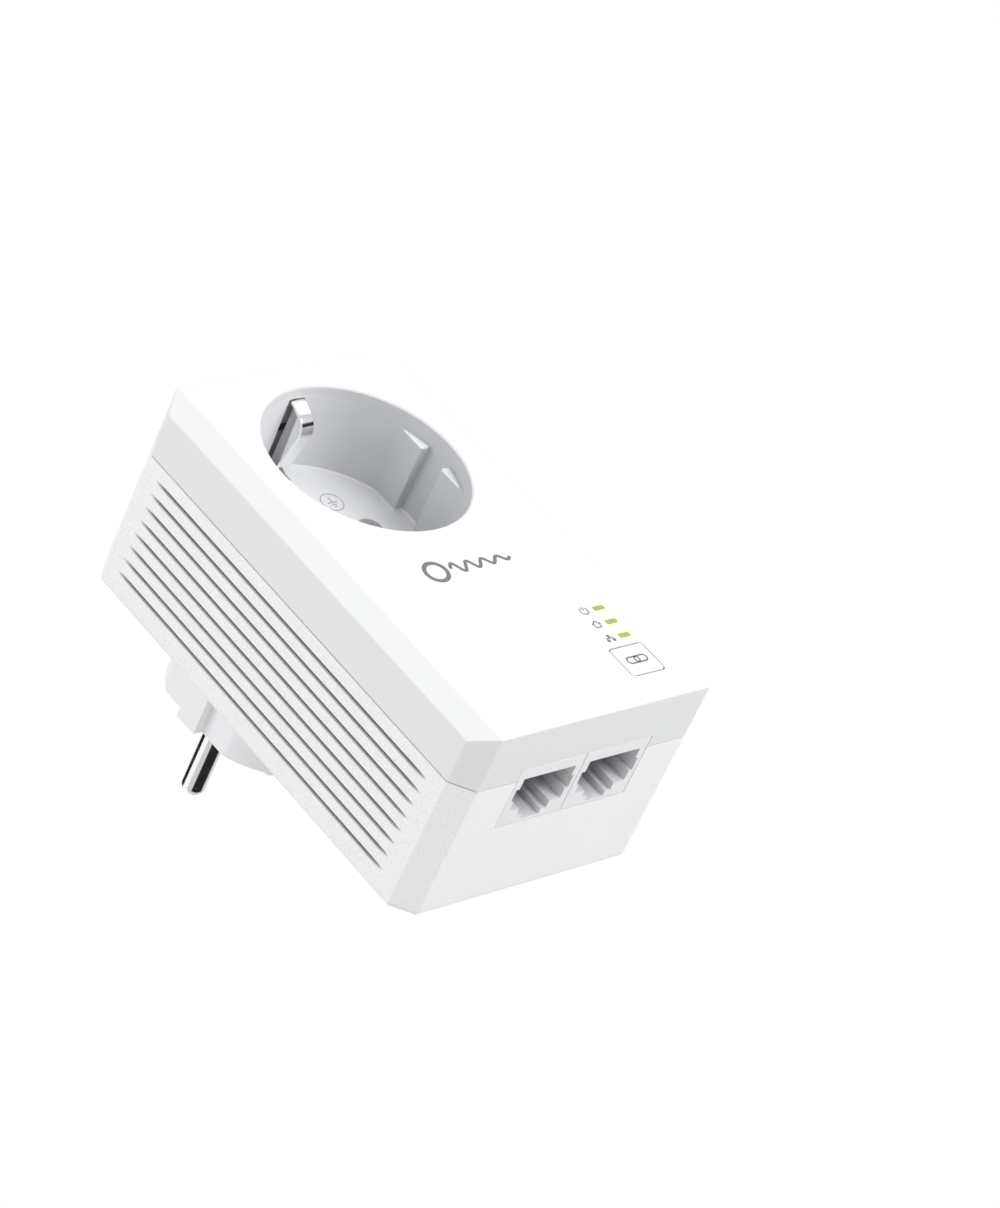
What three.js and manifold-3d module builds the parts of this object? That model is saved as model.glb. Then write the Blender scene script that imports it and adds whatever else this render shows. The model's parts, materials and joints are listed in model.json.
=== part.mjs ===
// Wall-plug powerline adapter with a pass-through earthed socket and two network jacks.
// Millimetres, +Z up, the wall towards +Y. The origin is the centre of the plug's end face,
// midway between the pins. Inside the housing group, y is the depth behind the front face
// and z is the height above the middle of the housing.

import * as THREE from 'three';
import { mergeVertices } from 'three/addons/utils/BufferGeometryUtils.js';
import Module from 'manifold-3d';

const wasm = await Module();
wasm.setup();

// ---------------------------------------------------------------- driving dimensions

const HOUSING = { width: 58.5, height: 95, depth: 41.5, corner: 3.9, wall: 2, bevelDepth: 2.6 };
const PARTING = { y: 11.9, gap: 0.3, tongue: 1.6, tongueWall: 0.8, clearance: 0.3 };
const WELL = { z: 22, radius: 20, floorRadius: 19.5, outer: 21.6, top: 2.15, floor: 18.3, base: 1.2 };
const GUIDE = { face: 17.4, slot: 2.9, reach: 9.6, top: 3.5 };
const PINS = { spacing: 19, diameter: 4.8, length: 19, holeDiameter: 5.5 };
const PLUG = { z: 20.5, radius: 19, height: 17.5, flat: 16.8, rib: 2.6, flange: 21.4 };
const CLIP = { width: 3, thickness: 0.8, foot: 20.8, root: 17.8, knee: [6.2, 15.3], rim: [3.2, 18.9] };
const CLIP_END = 19.7;
const CLIP_SLOT = { half: 1.9, start: 2.6, wallInner: 18.6, floorInner: 15.2 };
const JACK = { width: 15.75, height: 13.3, depth: 16, top: 9.4, pitch: 15.95, opening: 11.7, deep: 13.4 };
const PIN_HEAD = { radius: 3.8, y0: 36.9, y1: 38.3 };
const BUTTON = { x: 15.87, z: -37.5, width: 7.9, height: 6.9, gap: 0.2, corner: 0.8 };
const LAMP = { x: 18, z: [-24.2, -27.85, -31.5], width: 2.5, height: 0.95 };
const VENT = { count: 8, first: 15.1, pitch: 3.02, width: 1.1, depth: 1.1, low: -38, high: 39.2, fade: 4 };
const SCREW_AT = { x: 23.6, z: 41.5 };
const LOGIC_BOARD = { y: 7.9, thickness: 1.2 };
const POWER_BOARD = { y: 34.2, thickness: 1.6, bottom: -36.5, top: -1 };
const GAP = 0.3;
const HALF_PITCH = PINS.spacing / 2;
const ROUND = 48;

// ---------------------------------------------------------------- finishes

function finish(color, roughness, metalness = 0) {
  return new THREE.MeshStandardMaterial({ color, roughness, metalness });
}

const FINISH = {
  white: () => finish(0xf2f3f3, 0.45),
  grained: () => finish(0xe9eaea, 0.6),
  chrome: () => finish(0xc9ccd0, 0.15, 1),
  brass: () => finish(0xb99a4b, 0.35, 1),
  dark: () => finish(0x2b2c30, 0.6),
  grey: () => finish(0x9a9da1, 0.55),
  board: () => finish(0x1f5a3a, 0.5),
  clear: () => finish(0x8fd14a, 0.25),
  copper: () => finish(0xa9642e, 0.4, 1),
  aluminium: () => finish(0xb8babd, 0.35, 1),
  yellow: () => finish(0xd7b23a, 0.45),
  blue: () => finish(0x27508f, 0.5),
  film: () => finish(0x2a2a2a, 0.7),
  steel: () => finish(0x8d9095, 0.3, 1),
};

// ---------------------------------------------------------------- solids

function solid(geometry) {
  const bare = geometry.clone();
  bare.deleteAttribute('normal');
  bare.deleteAttribute('uv');
  const merged = mergeVertices(bare, 1e-4);
  const mesh = new wasm.Mesh({
    numProp: 3,
    vertProperties: new Float32Array(merged.attributes.position.array),
    triVerts: new Uint32Array(merged.index.array),
  });
  return new wasm.Manifold(mesh);
}

function joined(...solids) {
  return solids.reduce((whole, next) => whole.add(next));
}

function cutFrom(whole, ...tools) {
  return tools.reduce((left, tool) => left.subtract(tool), whole);
}

// A block between two opposite corners.
function block([x0, y0, z0], [x1, y1, z1]) {
  const shape = new THREE.BoxGeometry(Math.abs(x1 - x0), Math.abs(y1 - y0), Math.abs(z1 - z0));
  shape.translate((x0 + x1) / 2, (y0 + y1) / 2, (z0 + z1) / 2);
  return solid(shape);
}

function shapeOf(points) {
  return new THREE.Shape(points.map(([u, v]) => new THREE.Vector2(u, v)));
}

// An outline in x and z, carried along y.
function prismY(outline, y0, y1) {
  const shape = outline instanceof THREE.Shape ? outline : shapeOf(outline);
  const body = new THREE.ExtrudeGeometry(shape, { depth: y1 - y0, bevelEnabled: false });
  body.rotateX(Math.PI / 2).translate(0, y1, 0);
  return solid(body);
}

// An outline in x and y, carried along z.
function prismZ(outline, z0, z1) {
  const body = new THREE.ExtrudeGeometry(shapeOf(outline), { depth: z1 - z0, bevelEnabled: false });
  body.translate(0, 0, z0);
  return solid(body);
}

// An outline in y and z, carried along x about its middle.
function prismX(outline, width, x = 0) {
  const body = new THREE.ExtrudeGeometry(shapeOf(outline), { depth: width, bevelEnabled: false });
  const turn = new THREE.Matrix4().makeBasis(
    new THREE.Vector3(0, 1, 0), new THREE.Vector3(0, 0, 1), new THREE.Vector3(1, 0, 0));
  body.applyMatrix4(turn).translate(x - width / 2, 0, 0);
  return solid(body);
}

// A profile of [radius, y] points turned about an axis along y through x, z.
function turned(profile, x, z, segments = ROUND) {
  const points = profile.map(([r, y]) => new THREE.Vector2(r, y));
  const body = new THREE.LatheGeometry(points, segments);
  body.translate(x, 0, z);
  const whole = solid(body);
  return whole.volume() < 0 ? solid(flipped(body)) : whole;
}

function flipped(geometry) {
  const turnedOver = geometry.index ? geometry.toNonIndexed() : geometry.clone();
  const p = turnedOver.attributes.position;
  const spare = new THREE.Vector3();
  const other = new THREE.Vector3();
  for (let i = 0; i < p.count; i += 3) {
    spare.fromBufferAttribute(p, i);
    other.fromBufferAttribute(p, i + 1);
    p.setXYZ(i, other.x, other.y, other.z);
    p.setXYZ(i + 1, spare.x, spare.y, spare.z);
  }
  return turnedOver;
}

function rodY(radius, y0, y1, x, z, segments = 24) {
  return turned([[0, y0], [radius, y0], [radius, y1], [0, y1]], x, z, segments);
}

function ringY(inner, outer, y0, y1, x, z, segments = 24) {
  return cutFrom(rodY(outer, y0, y1, x, z, segments), rodY(inner, y0 - 1, y1 + 1, x, z, segments));
}

// A rod along x or z, made from one along y by a quarter turn about its own middle.
function rodAlong(axis, radius, length, [x, y, z], segments = 24) {
  const body = new THREE.CylinderGeometry(radius, radius, length, segments);
  if (axis === 'x') body.rotateZ(Math.PI / 2);
  if (axis === 'z') body.rotateX(Math.PI / 2);
  body.translate(x, y, z);
  return solid(body);
}

// Outlines of equal length stacked along y, closed by flat ends.
function lofted(rings) {
  const sides = rings[0].outline.length;
  const position = [];
  const at = (ring, i) => [ring.outline[i % sides][0], ring.y, ring.outline[i % sides][1]];
  for (let k = 0; k + 1 < rings.length; k += 1) {
    for (let i = 0; i < sides; i += 1) {
      const [a, b] = [at(rings[k], i), at(rings[k], i + 1)];
      const [c, d] = [at(rings[k + 1], i), at(rings[k + 1], i + 1)];
      position.push(...a, ...b, ...c, ...b, ...d, ...c);
    }
  }
  const last = rings[rings.length - 1];
  for (let i = 1; i + 1 < sides; i += 1) {
    position.push(...at(rings[0], 0), ...at(rings[0], i + 1), ...at(rings[0], i));
    position.push(...at(last, 0), ...at(last, i), ...at(last, i + 1));
  }
  const body = new THREE.BufferGeometry();
  body.setAttribute('position', new THREE.Float32BufferAttribute(position, 3));
  const whole = solid(body);
  return whole.volume() < 0 ? solid(flipped(body)) : whole;
}

function geometryOf(whole) {
  const { vertProperties, triVerts, numProp } = whole.getMesh();
  const body = new THREE.BufferGeometry();
  const position = new Float32Array((vertProperties.length / numProp) * 3);
  for (let i = 0; i < position.length / 3; i += 1) {
    position.set(vertProperties.subarray(i * numProp, i * numProp + 3), i * 3);
  }
  body.setAttribute('position', new THREE.BufferAttribute(position, 3));
  body.setIndex(new THREE.BufferAttribute(new Uint32Array(triVerts), 1));
  body.computeVertexNormals();
  return body;
}

const adapter = new THREE.Group();
const housing = new THREE.Group();
housing.position.set(0, -(HOUSING.depth + PLUG.height), -PLUG.z);
adapter.add(housing);

function add(name, whole, material) {
  const mesh = new THREE.Mesh(geometryOf(whole), material());
  mesh.name = name;
  housing.add(mesh);
}

const SIDES = [['left', -1], ['right', 1]];
const ENDS = [['top', 1], ['bottom', -1]];

// ---------------------------------------------------------------- outlines

// The housing's eight-sided outline, moved in by `inset` on every side.
function housingOutline(inset = 0) {
  const a = HOUSING.width / 2 - inset;
  const b = HOUSING.height / 2 - inset;
  const c = HOUSING.corner - inset * (2 - Math.SQRT2);
  return [[-a, -b + c], [-a + c, -b], [a - c, -b], [a, -b + c], [a, b - c], [a - c, b], [-a + c, b], [-a, b - c]];
}

// The wedge that a long side bevel takes off, moved in by `inset` at right angles to the bevel.
function bevelWedge(side, inset = 0) {
  const edge = HOUSING.width / 2;
  const slope = Math.hypot(HOUSING.corner, HOUSING.bevelDepth);
  const dx = (-inset * HOUSING.bevelDepth) / slope;
  const dy = (inset * HOUSING.corner) / slope;
  const reach = 1.5;
  const low = [edge - HOUSING.corner - reach * HOUSING.corner + dx, -reach * HOUSING.bevelDepth + dy];
  const high = [edge + reach * HOUSING.corner + dx, (1 + reach) * HOUSING.bevelDepth + dy];
  const points = [low, [high[0], low[1]], high].map(([x, y]) => [side * x, y]);
  if (side < 0) points.reverse();
  return prismZ(points, -HOUSING.height, HOUSING.height);
}

function bevelledBlock(inset, y0, y1) {
  const whole = prismY(housingOutline(inset), y0, y1);
  return cutFrom(whole, ...SIDES.map(([, side]) => bevelWedge(side, inset)));
}

// The plug's round section with a flat and a middle rib on the left and the right.
function plugOutline(grow = 0) {
  const radius = PLUG.radius + grow;
  const flat = PLUG.flat + grow;
  const rib = PLUG.rib + grow;
  const start = Math.acos(flat / radius);
  const steps = 20;
  const arc = (from, to) => Array.from({ length: steps + 1 }, (_, i) => {
    const angle = from + ((to - from) * i) / steps;
    return [radius * Math.cos(angle), PLUG.z + radius * Math.sin(angle)];
  });
  const ribTip = radius - 0.1;
  return [
    ...arc(start, Math.PI - start),
    [-flat, PLUG.z + rib], [-ribTip, PLUG.z + rib], [-ribTip, PLUG.z - rib], [-flat, PLUG.z - rib],
    ...arc(Math.PI + start, 2 * Math.PI - start),
    [flat, PLUG.z - rib], [ribTip, PLUG.z - rib], [ribTip, PLUG.z + rib], [flat, PLUG.z + rib],
  ];
}

function roundedSquare(width, height, corner, x, z) {
  const shape = new THREE.Shape();
  const [a, b] = [width / 2, height / 2];
  shape.moveTo(x - a + corner, z - b);
  shape.lineTo(x + a - corner, z - b);
  shape.absarc(x + a - corner, z - b + corner, corner, -Math.PI / 2, 0, false);
  shape.absarc(x + a - corner, z + b - corner, corner, 0, Math.PI / 2, false);
  shape.absarc(x - a + corner, z + b - corner, corner, Math.PI / 2, Math.PI, false);
  shape.absarc(x - a + corner, z - b + corner, corner, Math.PI, 1.5 * Math.PI, false);
  return new THREE.Shape(shape.getPoints(3));
}

function jackWindow(y0, y1, clearance) {
  const half = JACK.pitch / 2 + JACK.width / 2 + clearance;
  return block([-half, y0, -HOUSING.height], [half, y1, -HOUSING.height / 2 + 5]);
}

// ---------------------------------------------------------------- housing shells

function screwPosts(make) {
  return SIDES.flatMap(([, sx]) => ENDS.map(([, sz]) => make(sx * SCREW_AT.x, sz * SCREW_AT.z)));
}

function frontShell() {
  const end = PARTING.y - PARTING.gap / 2;
  const { wall } = HOUSING;
  const tongue = cutFrom(
    prismY(housingOutline(wall - PARTING.tongueWall), end - 0.5, end + PARTING.tongue),
    prismY(housingOutline(wall), 0, end + PARTING.tongue + 1));
  const shell = cutFrom(bevelledBlock(0, 0, end), bevelledBlock(wall, wall, end + 1));
  const postEnd = 24;
  const posts = screwPosts((x, z) => rodY(3, wall - 0.5, postEnd, x, z));
  const pilots = screwPosts((x, z) => rodY(1.5, 12, postEnd + 1, x, z, 16));
  const boardPosts = boardPostSpots().map(([x, z]) => rodY(2, wall - 0.5, LOGIC_BOARD.y - GAP, x, z, 16));
  const boardPilots = boardPostSpots().map(([x, z]) => rodY(0.8, 3.5, LOGIC_BOARD.y + 1, x, z, 12));
  const lip = 0.5;
  const bore = turned([[0, -1], [WELL.radius + lip + 1, -1], [WELL.radius, lip], [WELL.radius, 5], [0, 5]],
    0, WELL.z, ROUND);
  const windows = LAMP.z.map((z) => block(
    [LAMP.x - LAMP.width / 2 - GAP / 2, -1, z - LAMP.height / 2 - GAP / 2],
    [LAMP.x + LAMP.width / 2 + GAP / 2, 3, z + LAMP.height / 2 + GAP / 2]));
  const buttonHole = prismY(roundedSquare(BUTTON.width + 2 * BUTTON.gap, BUTTON.height + 2 * BUTTON.gap,
    BUTTON.corner + BUTTON.gap, BUTTON.x, BUTTON.z), -1, 3);
  return cutFrom(joined(shell, tongue, ...posts, ...boardPosts), bore, buttonHole, ...windows,
    ...pilots, ...boardPilots, jackWindow(JACK.top - 0.15, 20, 0.15));
}

function boardPostSpots() {
  return [[-23.5, -6], [-23.5, -33]];
}

// One side groove: a trough whose floor rises to the surface at both ends.
function ventGroove(side, y) {
  const surface = HOUSING.width / 2;
  const half = VENT.width / 2;
  const profile = [
    [surface + 1, VENT.low - 1], [surface + 1, VENT.high + 1], [surface + 0.1, VENT.high],
    [surface - VENT.depth, VENT.high - VENT.fade], [surface - VENT.depth, VENT.low + VENT.fade],
    [surface + 0.1, VENT.low],
  ].map(([x, z]) => [side * x, z]);
  if (side < 0) profile.reverse();
  return prismY(profile, y - half, y + half);
}

function rearShell() {
  const start = PARTING.y + PARTING.gap / 2;
  const { wall, depth } = HOUSING;
  const edge = 1.5;
  const body = lofted([
    { y: start, outline: housingOutline(0) },
    { y: depth - edge, outline: housingOutline(0) },
    { y: depth - edge * 0.3, outline: housingOutline(edge * 0.3) },
    { y: depth, outline: housingOutline(edge) },
  ]);
  const rabbet = prismY(housingOutline(wall - PARTING.tongueWall - PARTING.clearance),
    start - 1, start + PARTING.tongue);
  const cavity = prismY(housingOutline(wall), start - 1, depth - wall);
  const seat = 24.3;
  const towers = screwPosts((x, z) => rodY(4.3, seat, depth - wall + 0.5, x, z));
  const wells = screwPosts((x, z) => rodY(2.9, seat + 2, depth + 1, x, z));
  const holes = screwPosts((x, z) => rodY(1.6, seat - 1, depth, x, z, 16));
  const plugHole = prismY(plugOutline(GAP), depth - wall - 1, depth + 1);
  const boardEnd = POWER_BOARD.y + POWER_BOARD.thickness + GAP;
  const boardPosts = powerPostSpots().map(([x, z]) => rodY(2.4, boardEnd, depth - wall + 0.5, x, z, 16));
  const boardPilots = powerPostSpots().map(([x, z]) => rodY(1.2, boardEnd - 1, depth - wall, x, z, 12));
  const labelBed = block([-17.5, depth - 0.4, -33.5], [17.5, depth + 1, -8.5]);
  const grooves = SIDES.flatMap(([, side]) => Array.from({ length: VENT.count },
    (_, i) => ventGroove(side, VENT.first + i * VENT.pitch)));
  return cutFrom(joined(cutFrom(body, rabbet, cavity), ...towers, ...boardPosts), ...wells, ...holes,
    plugHole, ...boardPilots, labelBed, ...grooves,
    jackWindow(5, JACK.top + JACK.height + 0.15, 0.15));
}

function powerPostSpots() {
  return [[-23, -5], [23, -32]];
}

// ---------------------------------------------------------------- plug

function plugBody() {
  const { depth } = HOUSING;
  const end = depth + PLUG.height;
  const boss = joined(
    prismY(plugOutline(0), PIN_HEAD.y0 + 1, end - 0.6),
    prismY(plugOutline(-0.5), end - 1, end));
  const flange = rodY(PLUG.flange, PIN_HEAD.y0, depth - HOUSING.wall - 0.2, 0, PLUG.z, ROUND);
  const [pinHole, headHole, headEnd] = [PINS.diameter / 2 + GAP, PIN_HEAD.radius + GAP, PIN_HEAD.y1 + GAP];
  const holes = SIDES.map(([, side]) => turned(
    [[0, 30], [headHole, 30], [headHole, headEnd], [pinHole, headEnd], [pinHole, end + 1], [0, end + 1]],
    side * HALF_PITCH, PLUG.z, 28));
  const grooves = ENDS.map(([, up]) => block(
    [-3.5, 30, PLUG.z + up * 16.8], [3.5, end + 1, PLUG.z + up * 30]));
  return cutFrom(joined(boss, flange), ...holes, ...grooves);
}

function plugPin(side) {
  const end = HOUSING.depth + PLUG.height;
  const r = PINS.diameter / 2;
  const tip = Array.from({ length: 7 }, (_, i) => {
    const angle = (Math.PI / 2) * (i / 6);
    return [r * Math.cos(angle), end + PINS.length - r + r * Math.sin(angle)];
  });
  tip[6][0] = 0;
  const { radius, y0, y1 } = PIN_HEAD;
  return turned([[0, y0], [radius, y0], [radius, y1], [r, y1], ...tip], side * HALF_PITCH, PLUG.z, 28);
}

// A strip in the plug's earth groove, bowed outwards along its contact length.
function plugEarthStrip(up) {
  const inner = [[36.2, 17.1], [44, 17.1], [47, 17.6], [54, 17.6], [57, 17.1], [58.4, 17.1]];
  const outer = [[58.4, 17.9], [57.2, 17.9], [54.2, 18.5], [46.8, 18.5], [43.8, 17.9], [36.2, 17.9]];
  const profile = [...inner, ...outer].map(([y, r]) => [y, PLUG.z + up * r]);
  if (up < 0) profile.reverse();
  return prismX(profile, 5);
}

// ---------------------------------------------------------------- socket

function socketWell() {
  const bottom = WELL.floor + WELL.base;
  const cup = turned([
    [0, bottom], [WELL.outer, bottom], [WELL.outer, WELL.top], [WELL.radius, WELL.top],
    [WELL.floorRadius, WELL.floor], [0, WELL.floor],
  ].reverse(), 0, WELL.z, 56);
  const rim = rodY(WELL.radius + 0.8, GUIDE.top, WELL.floor + 0.5, 0, WELL.z, 56);
  const guides = SIDES.flatMap(([, side]) => ENDS.map(([, up]) => rim.intersect(block(
    [side * GUIDE.face, 0, WELL.z + up * GUIDE.slot],
    [side * 30, 30, WELL.z + up * GUIDE.reach]))));
  const pinHoles = SIDES.map(([, side]) => rodY(PINS.holeDiameter / 2, 10, 30, side * HALF_PITCH, WELL.z));
  const clipSlots = ENDS.map(([, up]) => joined(
    block([-CLIP_SLOT.half, CLIP_SLOT.start, WELL.z + up * CLIP_SLOT.wallInner],
      [CLIP_SLOT.half, 30, WELL.z + up * 30]),
    block([-CLIP_SLOT.half, WELL.floor - 0.2, WELL.z + up * CLIP_SLOT.floorInner],
      [CLIP_SLOT.half, 30, WELL.z + up * (CLIP_SLOT.wallInner + 0.4)])));
  const pivot = joined(
    rodY(1.2, bottom - 0.5, 24, 0, WELL.z, 16),
    rodY(2.4, bottom - 0.5, bottom + 0.25, 0, WELL.z, 20));
  return joined(cutFrom(joined(cup, ...guides), ...pinHoles, ...clipSlots), pivot);
}

// Both edges of a strip that follows a path of (depth, distance from the well's middle) points.
function stripOutline(path, thickness) {
  const edge = (side) => path.map((point, i) => {
    const [before, after] = [path[Math.max(i - 1, 0)], path[Math.min(i + 1, path.length - 1)]];
    const [dy, dr] = [after[0] - before[0], after[1] - before[1]];
    const offset = (side * thickness) / 2 / Math.hypot(dy, dr);
    return [point[0] - dr * offset, point[1] + dy * offset];
  });
  return [...edge(-1), ...edge(1).reverse()];
}

// The clip's middle line: a foot turned outwards, a leaning leg, a round knee and the end at the rim.
function clipPath() {
  const [kneeY, kneeR] = CLIP.knee;
  const [rimY, rimR] = CLIP.rim;
  return [
    [CLIP.foot, CLIP_END], [CLIP.foot, CLIP.root + 0.6],
    [CLIP.foot - 0.3, CLIP.root + 0.1], [CLIP.foot - 1, CLIP.root - 0.1],
    [kneeY + 2.4, kneeR + 0.3], [kneeY + 1.2, kneeR + 0.05], [kneeY, kneeR + 0.1], [kneeY - 1, kneeR + 0.5],
    [kneeY - 1.8, kneeR + 1.25], [rimY + 0.3, rimR - 0.6], [rimY, rimR], [rimY, CLIP_END],
  ];
}

function earthClip(up) {
  const place = (points) => {
    const placed = points.map(([y, r]) => [y, WELL.z + up * r]);
    return up < 0 ? placed.reverse() : placed;
  };
  const strip = prismX(place(stripOutline(clipPath(), CLIP.thickness)), CLIP.width);
  const leg = clipPath().slice(3, 5);
  const bead = prismX(place(stripOutline(leg, CLIP.thickness + 0.3)), 1);
  return joined(strip, bead);
}

function socketShutter() {
  const [y0, y1] = [WELL.floor + WELL.base + GAP, WELL.floor + WELL.base + 1.8];
  const pads = SIDES.map(([, side]) => rodY(3.3, y0, y1, side * HALF_PITCH, WELL.z));
  const bar = block([-HALF_PITCH, y0, WELL.z - 2], [HALF_PITCH, y1, WELL.z + 2]);
  const hub = rodY(3.6, y0, y1, 0, WELL.z);
  const bore = joined(rodY(1.5, 10, 30, 0, WELL.z, 20), rodY(2.7, 10, y0 + 0.3, 0, WELL.z, 20));
  return cutFrom(joined(bar, hub, ...pads), bore);
}

// A torsion spring: a helix of wire round the shutter's pivot.
function shutterSpring() {
  class Helix extends THREE.Curve {
    getPoint(t, target = new THREE.Vector3()) {
      const angle = 2 * Math.PI * 3 * t;
      return target.set(2.9 * Math.cos(angle), 21.75 + 2.1 * t, WELL.z + 2.9 * Math.sin(angle));
    }
  }
  const wire = new THREE.Shape();
  wire.absarc(0, 0, 0.22, 0, 2 * Math.PI, false);
  const section = new THREE.Shape(wire.getPoints(2).slice(0, -1));
  const body = new THREE.ExtrudeGeometry(
    section, { steps: 60, extrudePath: new Helix(), bevelEnabled: false });
  const whole = solid(body);
  return whole.volume() < 0 ? solid(flipped(body)) : whole;
}

function contactCarrier() {
  const puck = rodY(18.2, 21.6, 33.9, 0, WELL.z, 40);
  const recess = rodY(4.2, 20, 24.6, 0, WELL.z);
  const sleeves = SIDES.map(([, side]) => rodY(4.2, 22, 40, side * HALF_PITCH, WELL.z));
  const entries = SIDES.map(([, side]) => rodY(3, 20, 24, side * HALF_PITCH, WELL.z));
  const slots = SIDES.map(([, side]) => block(
    [side * 12.5, 29.9, WELL.z - 30], [side * 14.1, 40, WELL.z + 3.5]));
  const tongueSlots = SIDES.map(([, side]) => block([side * 7.9, 32.5, 15.7], [side * 13, 40, 19.2]));
  return cutFrom(puck, recess, ...sleeves, ...entries, ...slots, ...tongueSlots);
}

// A split sleeve, its strip down to the power board and a tongue to the plug pin's head.
function mainsContact(side) {
  const x = side * HALF_PITCH;
  const sleeve = ringY(2.95, 3.85, 22.4, 33.6, x, WELL.z);
  const slit = block([x - 0.3, 20, WELL.z], [x + 0.3, 31, WELL.z + 6]);
  const strip = block([side * 12.9, 30.2, -4], [side * 13.7, 33.6, WELL.z + 2.5]);
  const tongue = block([side * 8.2, 32.8, 16], [side * 13.7, 33.6, 18.9]);
  const foot = block([side * 8.2, 33.2, 16], [side * 12.4, 36.6, 16.9]);
  return joined(cutFrom(sleeve, slit), strip, tongue, foot);
}

// A strip bent into a C: its back crosses behind the carrier and its arms reach both earths.
function earthYoke() {
  const t = 0.8;
  const [y0, y1] = [34.3, 35.1];
  const top = WELL.z + 19.6;
  const bottom = WELL.z - 19.6;
  const outline = [
    [21.5, top], [21.5, top - t], [y0, top - t], [y0, bottom + t], [21.5, bottom + t], [21.5, bottom],
    [y1, bottom], [y1, PLUG.z - 17.5 - t / 2], [35.9, PLUG.z - 17.5 - t / 2], [35.9, PLUG.z - 17.5 + t / 2],
    [y1, PLUG.z - 17.5 + t / 2], [y1, PLUG.z + 17.5 - t / 2], [35.9, PLUG.z + 17.5 - t / 2],
    [35.9, PLUG.z + 17.5 + t / 2], [y1, PLUG.z + 17.5 + t / 2], [y1, top],
  ];
  return prismX(outline.reverse(), 4.6);
}

// ---------------------------------------------------------------- network jacks

// A jack opening: the plug's body with a key slot on each side, then two steps for its latch.
function jackOpening(x) {
  const y = JACK.opening;
  const bottom = -HOUSING.height / 2;
  const steps = [[6.25, 0, 7.6], [7, 2.4, 5.4], [3.65, 7, 9.2], [2.3, 8.6, 10.35]];
  return joined(...steps.map(([half, near, far]) => block(
    [x - half, y + near, bottom - 1], [x + half, y + far, bottom + JACK.deep])));
}

function networkJack(side) {
  const x = (side * JACK.pitch) / 2;
  const bottom = -HOUSING.height / 2;
  const half = JACK.width / 2;
  const shell = block([x - half, JACK.top, bottom], [x + half, JACK.top + JACK.height, bottom + JACK.depth]);
  const comb = block(
    [x - 4.6, JACK.opening - 1.6, bottom + 2.6], [x + 4.6, JACK.opening + 1, bottom + JACK.deep]);
  return cutFrom(shell, jackOpening(x), comb);
}

// Eight sprung wires on one insert, leaning into the opening.
function jackContacts(side) {
  const x = (side * JACK.pitch) / 2;
  const bottom = -HOUSING.height / 2;
  const pitch = 1.02;
  const y = JACK.opening;
  const base = block([x - 4.2, y - 1.2, bottom + 11.6], [x + 4.2, y - 0.4, bottom + 13]);
  const wires = Array.from({ length: 8 }, (_, i) => prismX([
    [y - 1.2, bottom + 12.4], [y - 0.7, bottom + 12.4], [y + 2.6, bottom + 6.2], [y + 2.1, bottom + 6],
  ], 0.5, x + (i - 3.5) * pitch));
  return joined(base, ...wires);
}

// ---------------------------------------------------------------- button and lamps

function pairButton() {
  const cap = prismY(roundedSquare(BUTTON.width, BUTTON.height, BUTTON.corner, BUTTON.x, BUTTON.z), 0, 2.6);
  const flange = prismY(
    roundedSquare(BUTTON.width + 0.8, BUTTON.height + 0.8, 1, BUTTON.x, BUTTON.z), 2.3, 3.1);
  return joined(cap, flange);
}

function tactSwitch() {
  const body = block([BUTTON.x - 3, 4.4, BUTTON.z - 3], [BUTTON.x + 3, LOGIC_BOARD.y - 0.1, BUTTON.z + 3]);
  return cutFrom(body, rodY(1.9, 4, 6.2, BUTTON.x, BUTTON.z));
}

function tactPlunger() {
  return rodY(1.6, 3.3, 5.5, BUTTON.x, BUTTON.z);
}

function lightPipe() {
  const prongs = LAMP.z.map((z) => block(
    [LAMP.x - LAMP.width / 2, 0.05, z - LAMP.height / 2],
    [LAMP.x + LAMP.width / 2, 6.6, z + LAMP.height / 2]));
  const web = block([LAMP.x - 1.4, 2.3, LAMP.z[2] - 1.2], [LAMP.x + 1.4, 3.5, LAMP.z[0] + 1.2]);
  return joined(web, ...prongs);
}

function ledChip(z) {
  return block([LAMP.x - 0.9, 6.9, z - 0.5], [LAMP.x + 0.9, LOGIC_BOARD.y - 0.1, z + 0.5]);
}

// ---------------------------------------------------------------- boards

function logicBoard() {
  const outline = [[-26.4, -37.5], [-19.6, -37.5], [-19.6, -45.2], [19.6, -45.2], [19.6, -37.5], [26.4, -37.5],
    [26.4, -1], [-26.4, -1]];
  const { y, thickness } = LOGIC_BOARD;
  const board = prismY(outline, y, y + thickness);
  return cutFrom(board, ...boardPostSpots().map(([x, z]) => rodY(1.2, 0, 20, x, z, 12)));
}

function powerBoard() {
  const { y, thickness, bottom, top } = POWER_BOARD;
  const board = block([-26.4, y, bottom], [26.4, y + thickness, top]);
  return cutFrom(board, ...powerPostSpots().map(([x, z]) => rodY(1.5, 30, 40, x, z, 12)));
}

// A pan-headed screw along y: head between y0 and y1, shank on to y2.
function screw(headRadius, shankRadius, y0, y1, y2, x, z) {
  const socketDepth = Math.sign(y0 - y1) * 0.7;
  const body = joined(rodY(headRadius, Math.min(y0, y1), Math.max(y0, y1), x, z, 20),
    rodY(shankRadius, Math.min(y1, y2) - (y2 > y1 ? 0.2 : 0), Math.max(y1, y2) + (y2 < y1 ? 0.2 : 0), x, z, 12));
  const drive = [0, Math.PI / 3, (2 * Math.PI) / 3].map((turn) => {
    const bar = new THREE.BoxGeometry(headRadius * 1.15, Math.abs(socketDepth) * 2, headRadius * 0.3);
    bar.rotateY(turn).translate(x, y0, z);
    return solid(bar);
  });
  return cutFrom(body, ...drive);
}

function housingScrew(x, z) {
  return screw(2.5, 1.2, 28.4, 26.6, 13, x, z);
}

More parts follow.
